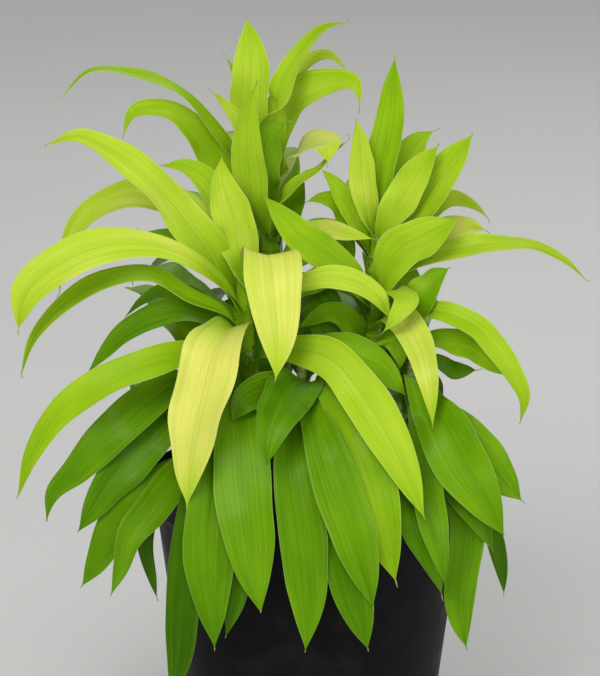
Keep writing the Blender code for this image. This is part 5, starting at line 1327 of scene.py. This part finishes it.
def leaf_markings():
    """Group that colours a blade: tone, streaks, ribs with painted sheen along them, midrib, pale margin,
    flecks and dry tip.
    """
    names = ("Across", "Along", "Tone", "Chance")
    tree, given, leave = new_group("leaf_markings", dict.fromkeys(names, "Float"),
                                   {"Colour": "Color", "Roughness": "Float", "Height": "Float"})
    across, along, tone, seed = (given[name] for name in names)
    noises = []
    for wide, long, detail, roughness in LEAF_NOISES:
        where = stretched(tree, (across, along, seed), (wide, long, CHANCE_SPREAD))
        noises.append(grain(tree, where, 1.0, detail, roughness))
    streaks, patches, ribs, flecks = noises
    off_middle = calc(tree, "ABSOLUTE", calc(tree, "MULTIPLY_ADD", across, 2.0, -1.0))
    midrib = fade(tree, off_middle, *MIDRIB_FADE)
    margin = calc(tree, "MULTIPLY", fade(tree, off_middle, *MARGIN_FADE), fade(tree, along, *MARGIN_START))
    margin = calc(tree, "MULTIPLY", margin, fade(tree, tone, *MARGIN_BY_TONE))
    dry = fade(tree, calc(tree, "MULTIPLY_ADD", streaks, RAGGED, along), *DRY_FADE)
    colour = ramp(tree, tone_along(tree, along, tone, streaks, patches), LEAF_TONES)
    # The pale green on the ribs is painted sheen
    for share, tint in ((fade(tree, ribs, *DARK_RIB_FADE), DARK_RIB),
                        (fade(tree, ribs, *PAINTED_RIB_SHEEN_FADE), PAINTED_RIB_SHEEN),
                        (midrib, MIDRIB), (margin, PALE_MARGIN), (dry, DRY_TIP),
                        (fade(tree, flecks, *FLECK_FADE), FLECK)):
        colour = mix(tree, share, colour, tint)
    rough = calc(tree, "MULTIPLY_ADD", patches, *PATCH_ROUGHNESS)
    rough = calc(tree, "MAXIMUM", rough, calc(tree, "MULTIPLY", dry, DRY_ROUGHNESS))
    height = calc(tree, "MULTIPLY_ADD", streaks, STREAK_RELIEF, ribs)
    height = calc(tree, "SUBTRACT", height, calc(tree, "MULTIPLY", midrib, MIDRIB_RELIEF))
    send(tree, leave, Colour=colour, Roughness=rough, Height=height)
    return tree


def stem_markings():
    """Group for stems and canes: mottling, a line at each leaf scar, lengthwise cracks and relief."""
    tree, given, leave = new_group("stem_markings", {"Place": "Vector"},
                                   dict.fromkeys(("Mottle", "Scars", "Cracks", "Height"), "Float"))
    parts = parts_of(tree, given["Place"])
    lengthwise = grain(tree, stretched(tree, parts, STEM_GRAIN), 1.0, 2.0)
    rings = grain(tree, level_rings(tree, parts[2], STEM_RINGS), 1.0, 2.0)
    send(tree, leave, Mottle=grain(tree, given["Place"], *STEM_MOTTLE),
         Scars=fade(tree, rings, *SCAR_FADE), Cracks=fade(tree, lengthwise, *CRACK_FADE),
         Height=calc(tree, "MULTIPLY_ADD", rings, RING_RELIEF, lengthwise))
    return tree


def crumb_markings():
    """Group for crumbs: fibre, lighter or darker by each crumb's own chance number, and roughness."""
    inputs = {"Place": "Vector", "Scale": "Float", "Chance": "Float"}
    outputs = dict.fromkeys(("Tint", "Roughness", "Height"), "Float")
    tree, given, leave = new_group("crumb_markings", inputs, outputs)
    fibre = grain(tree, given["Place"], given["Scale"], *CRUMB_FIBRE)
    own_tint = calc(tree, "MULTIPLY_ADD", given["Chance"], *OWN_TINT)
    send(tree, leave, Tint=calc(tree, "MULTIPLY_ADD", fibre, FIBRE_SHARE, own_tint, clamp=True),
         Roughness=fade(tree, fibre, *CRUMB_ROUGHNESS_FADE), Height=fibre)
    return tree


def new_finish(name, **plain):
    """Material with a Principled shader whose plain values are set on its own sockets."""
    material = bpy.data.materials.new(name)
    material.use_nodes = True
    tree = material.node_tree
    shader = tree.nodes["Principled BSDF"]
    for label, value in plain.items():
        shader.inputs[label.replace("_", " ")].default_value = value
    return material, tree, shader


def feed(tree, shader, colour, roughness, height, strength, distance):
    """Give a shader its colour, its roughness and the bump of a height."""
    bump = add_node(tree, "Bump", {"Height": height, "Strength": strength, "Distance": distance})
    results = {"Base Color": colour, "Roughness": roughness, "Normal": bump.outputs[0]}
    for label, value in results.items():
        tree.links.new(value, shader.inputs[label])


def object_place(tree):
    """Object coordinates."""
    return add_node(tree, "TexCoord", {}).outputs["Object"]


def own_value(tree, name):
    """Value that a piece's points keep."""
    return add_node(tree, "Attribute", {}, attribute_name=name).outputs["Fac"]


def leaf_finish(markings, name, share, strength, gloss):
    """Material of one face of the leaves: the markings, tinted."""
    material, tree, shader = new_finish(name, Specular_Tint=opaque(SHEEN_TINT), **gloss)
    where = parts_of(tree, add_node(tree, "UVMap", {}, uv_map="UVMap").outputs[0])
    given = {"Across": where[0], "Along": where[1], "Tone": own_value(tree, "tone"),
             "Chance": own_value(tree, "chance")}
    marks = add_node(tree, "Group", given, node_tree=markings).outputs
    colour = mix(tree, share, marks["Colour"], BACK_TINT)
    feed(tree, shader, colour, marks["Roughness"], marks["Height"], strength, LEAF_RELIEF)
    return material


def stem_finish(markings, name, low, high, scar, roughness):
    """Material of a stem or cane: mottled, and darker in its cracks and at its leaf scars."""
    material, tree, shader = new_finish(name)
    marks = add_node(tree, "Group", {"Place": object_place(tree)}, node_tree=markings).outputs
    colour = mix(tree, fade(tree, marks["Mottle"], *MOTTLE_FADE), low, high)
    for mask in ("Scars", "Cracks"):
        colour = mix(tree, marks[mask], colour, scar)
    spread = (roughness - ROUGHNESS_SPREAD, roughness + ROUGHNESS_SPREAD)
    rough = fade(tree, marks["Mottle"], *ROUGHNESS_FADE, *spread)
    feed(tree, shader, colour, rough, marks["Height"], *STEM_RELIEF)
    return material


def crumb_finish(markings, name, colours, scale):
    """Material of bark, peat or specks, in its own colours."""
    material, tree, shader = new_finish(name)
    given = {"Place": object_place(tree), "Scale": scale, "Chance": own_value(tree, "chance")}
    marks = add_node(tree, "Group", given, node_tree=markings).outputs
    colour = ramp(tree, marks["Tint"], colours)
    feed(tree, shader, colour, marks["Roughness"], marks["Height"], *CRUMB_RELIEF)
    return material


def pot_finish():
    """Black moulded plastic: fine grain, faint rings, a dusty bloom and splashes low on the wall."""
    material, tree, shader = new_finish("nursery_plastic", Specular_IOR_Level=PLASTIC_GLOSS)
    place = object_place(tree)
    z = parts_of(tree, place)[2]
    fine = grain(tree, place, *PLASTIC_GRAIN)
    bloom = grain(tree, place, *BLOOM)
    rings = grain(tree, level_rings(tree, z, MOULD_LINES), 1.0, 1.0)
    dust = fade(tree, bloom, *DUST_FADE)
    spots = fade(tree, grain(tree, place, *SPLASH_SPOTS), *SPOT_FADE)
    splash = calc(tree, "MULTIPLY", fade(tree, z, *SPLASH_FADE), spots)
    colour = mix(tree, splash, mix(tree, dust, PLASTIC_BLACK, DUST), SPLASH)
    rough = fade(tree, bloom, *PLASTIC_ROUGHNESS)
    height = calc(tree, "MULTIPLY_ADD", rings, RING_RELIEF, fine)
    feed(tree, shader, colour, rough, height, *PLASTIC_RELIEF)
    return material


def lay_floor():
    """Plain pale studio floor, which isn't part of the plant."""
    bpy.ops.object.select_all(action="DESELECT")
    bpy.ops.mesh.primitive_plane_add(size=FLOOR_SIZE, location=(0.0, 0.0, -FLOOR_DROP))
    floor = bpy.context.object
    floor.name = "studio_floor"
    material, tree, shader = new_finish("pale_floor")
    soft = grain(tree, object_place(tree), *FLOOR_CLOUDS)
    tree.links.new(mix(tree, soft, *FLOOR_COLOURS), shader.inputs["Base Color"])
    tree.links.new(fade(tree, soft, *FLOOR_ROUGHNESS), shader.inputs["Roughness"])
    floor.data.materials.append(material)


def aim(name, data, place):
    """Lamp or camera set at a place and turned to the middle of the view."""
    stand = bpy.data.objects.new(name, data)
    stand.location = place
    stand.rotation_euler = (VIEW_CENTRE - Vector(place)).to_track_quat("-Z", "Y").to_euler()
    bpy.context.scene.collection.objects.link(stand)
    return stand


def light_studio():
    """Large soft lamps and a pale sky."""
    for name, place, size, power in LAMPS:
        lamp = bpy.data.lights.new(name, "AREA")
        lamp.shape = "SQUARE"
        lamp.size = size
        lamp.energy = power
        aim(name, lamp, place)
    world = bpy.data.worlds.new("studio")
    world.use_nodes = True
    sky = world.node_tree.nodes["Background"]
    sky.inputs["Color"].default_value = opaque(SKY_COLOUR)
    sky.inputs["Strength"].default_value = SKY_STRENGTH
    bpy.context.scene.world = world


def place_camera():
    """Camera 15 degrees above the horizontal, looking straight at the plant's front."""
    camera = bpy.data.cameras.new("camera")
    camera.sensor_width = SENSOR
    camera.lens = SENSOR * VIEW_DISTANCE / FRAME_HEIGHT
    camera.clip_end = CLIP_END
    back = Vector((0.0, -math.cos(SIGHT_TILT), math.sin(SIGHT_TILT)))
    bpy.context.scene.camera = aim("camera", camera, VIEW_CENTRE + back * VIEW_DISTANCE)
    bpy.context.scene.view_settings.view_transform = "Standard"


def dress(piece, finish, slot, *nodes):
    """Give a piece its finish and let it ride on the body, in place of the nodes it stands for."""
    if finish is not None:
        piece.data.materials.clear()
        piece.data.materials.append(finish)
    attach(piece, "root")
    if nodes:
        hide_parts(*nodes)


def leaf_finishes(stem_marks):
    """Materials of the green shoots: the leaves' two faces and the stem."""
    markings = leaf_markings()
    faces = [leaf_finish(markings, *face) for face in LEAF_FACES]
    return faces + [stem_finish(stem_marks, "green_stem", *GREEN_STEM)]


def make_foliage_pieces(box, stem_marks):
    """Settle the leaves as the solids have them and dress each cane's shoot."""
    finishes = leaf_finishes(stem_marks)
    leaves = all_leaves()
    settle(leaves)
    chance = random.Random(SEED)
    blank, rows, columns = leaf_blank()
    for cane in CANES:
        own = [leaf for leaf in leaves if leaf["cane"] == cane]
        foliage = make_foliage(cane, own, blank, rows, columns, box, finishes, chance)
        slot = "leaf_lime" if cane in TALL_CANES else "leaf_green"
        dress(foliage, None, slot, "leaves_" + cane)
    bpy.data.objects.remove(blank)


def make_stand_pieces(stem_marks):
    """Woody canes, potting mix with its crumbs, and the pot."""
    bark = stem_finish(stem_marks, "cane_bark", *CANE_BARK)
    for cane in CANES:
        dress(make_woody_cane(cane), bark, "cane_bark", "cane_" + cane)
    chance = random.Random(SEED)
    crumb_marks = crumb_markings()
    peat = crumb_finish(crumb_marks, "peat", PEAT, PEAT_SCALE)
    dress(make_bark_mix(), peat, "potting_mix", "potting_mix")
    for name, size, shape, count, sizes, lean, finish, colours, scale in STREWN:
        crumbs = strew(name, crumb_blank(finish, size, shape), count, sizes, lean, chance)
        dress(crumbs, crumb_finish(crumb_marks, finish, colours, scale), "potting_mix")
    dress(make_nursery_pot(), pot_finish(), "pot_plastic", "pot")


def main():
    """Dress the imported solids."""
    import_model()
    solids_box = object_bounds()
    stem_marks = stem_markings()
    make_foliage_pieces(solids_box, stem_marks)
    make_stand_pieces(stem_marks)
    lay_floor()
    light_studio()
    place_camera()


main()
